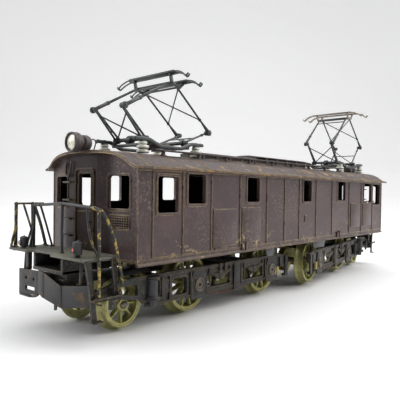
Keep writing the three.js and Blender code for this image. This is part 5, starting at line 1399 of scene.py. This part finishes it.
# ------------------------------------------------------------------ stage, light and camera
def stage_floor():
    me = bpy.data.meshes.new("studio_floor")
    n, R = 24, 2.6
    verts, faces = [], []
    # floor that curves up into a wall behind the model, across the camera's line of sight
    prof = [(-1.2, 0.0), (0.5, 0.0), (0.9, 0.0), (1.1, 0.03), (1.25, 0.12), (1.35, 0.28), (1.4, 0.5), (1.4, 1.6)]
    a = math.radians(41.3)
    for t, z in prof:
        for s in (-R, R):
            verts.append((t * math.cos(a) + s * math.sin(a), t * math.sin(a) - s * math.cos(a), z - 0.00002))
    for i in range(len(prof) - 1):
        faces.append((2 * i, 2 * i + 1, 2 * i + 3, 2 * i + 2))
    me.from_pydata(verts, [], faces)
    me.polygons.foreach_set("use_smooth", [True] * len(faces))
    me.update()
    ob = bpy.data.objects.new("studio_floor", me)
    scene.collection.objects.link(ob)
    N = Nodes("studio_paper")
    a = N.noise(18, 3, 0.5)
    x, y, z = N.xyz()
    t = N.math("ADD", N.math("MULTIPLY", x, 0.751), N.math("MULTIPLY", y, 0.660))
    # painted light: the paper glows more the further it lies behind the model, up to 0.4 on the back wall
    N.set(Base_Color=N.mix(a, lin(231, 231, 232), lin(235, 235, 236)), Roughness=0.75, Specular_IOR_Level=0.2, Emission_Color=(1.0, 1.0, 1.0, 1.0), Emission_Strength=N.math("MULTIPLY", N.ramp(t, 0.1, 1.1), 0.40))
    me.materials.append(N.mat)
    return ob


floor = stage_floor()


def area(name, loc, target, size, power, color=(1, 1, 1), size_y=None):
    d = bpy.data.lights.new(name, "AREA")
    d.energy = power
    d.color = color
    d.size = size
    if size_y:
        d.shape = "RECTANGLE"
        d.size_y = size_y
    ob = bpy.data.objects.new(name, d)
    ob.location = loc
    ob.rotation_euler = (Vector(target) - Vector(loc)).to_track_quat("-Z", "Y").to_euler()
    scene.collection.objects.link(ob)
    return ob


area("key", (0.33, -0.36, 0.42), (0.03, 0, 0.02), 0.5, 3.4, (1.0, 0.995, 0.98))
area("top", (0.1, 0.1, 0.8), (0, 0, 0.04), 0.9, 5.0, (1.0, 1.0, 1.0))
area("left_fill", (-0.45, 0.4, 0.3), (-0.04, 0, 0.03), 0.4, 2.0, (0.98, 0.99, 1.0))

w = bpy.data.worlds.new("studio_world")
scene.world = w
w.use_nodes = True
wt = w.node_tree
bg = wt.nodes["Background"]
bg.inputs[0].default_value = (1.0, 1.0, 1.0, 1.0)
lp = wt.nodes.new("ShaderNodeLightPath")
mixw = wt.nodes.new("ShaderNodeMix")
mixw.data_type = "FLOAT"
wt.links.new(lp.outputs["Is Camera Ray"], mixw.inputs[0])
# the room is bright behind the model and dim behind the camera
tc = wt.nodes.new("ShaderNodeTexCoord")
dt = wt.nodes.new("ShaderNodeVectorMath")
dt.operation = "DOT_PRODUCT"
wt.links.new(tc.outputs["Generated"], dt.inputs[0])
dt.inputs[1].default_value = (0.75, 0.66, 0.0)
mr = wt.nodes.new("ShaderNodeMapRange")
wt.links.new(dt.outputs["Value"], mr.inputs[0])
mr.inputs[1].default_value = -0.8
mr.inputs[2].default_value = 0.9
mr.inputs[3].default_value = 0.16
mr.inputs[4].default_value = 0.92
wt.links.new(mr.outputs[0], mixw.inputs[2])
mixw.inputs[3].default_value = 0.84
wt.links.new(mixw.outputs[0], bg.inputs[1])

yaw, pitch, roll = math.radians(41.323), math.radians(-1.031), math.radians(0.795)
F = Vector((math.cos(yaw) * math.cos(pitch), math.sin(yaw) * math.cos(pitch), math.sin(pitch)))
R0 = Vector((math.sin(yaw), -math.cos(yaw), 0))
U0 = R0.cross(F)
R2 = R0 * math.cos(roll) + U0 * math.sin(roll)
U2 = U0 * math.cos(roll) - R0 * math.sin(roll)
pos = (Vector((-146.97, -100.215, 34.434)) + Vector(OFFSET)) * MM
cam_data = bpy.data.cameras.new("camera")
cam_data.sensor_width = 36.0
cam_data.lens = 475.514 / 400 * 36.0
cam_data.clip_start = 0.005
cam_data.clip_end = 20
cam = bpy.data.objects.new("camera", cam_data)
cam.matrix_world = Matrix(((R2.x, U2.x, -F.x, pos.x), (R2.y, U2.y, -F.y, pos.y), (R2.z, U2.z, -F.z, pos.z), (0, 0, 0, 1)))
scene.collection.objects.link(cam)
scene.camera = cam
scene.view_settings.view_transform = "Standard"
scene.view_settings.look = "None"
scene.view_settings.exposure = 0.0
scene.view_settings.gamma = 1.0

bpy.context.view_layer.update()
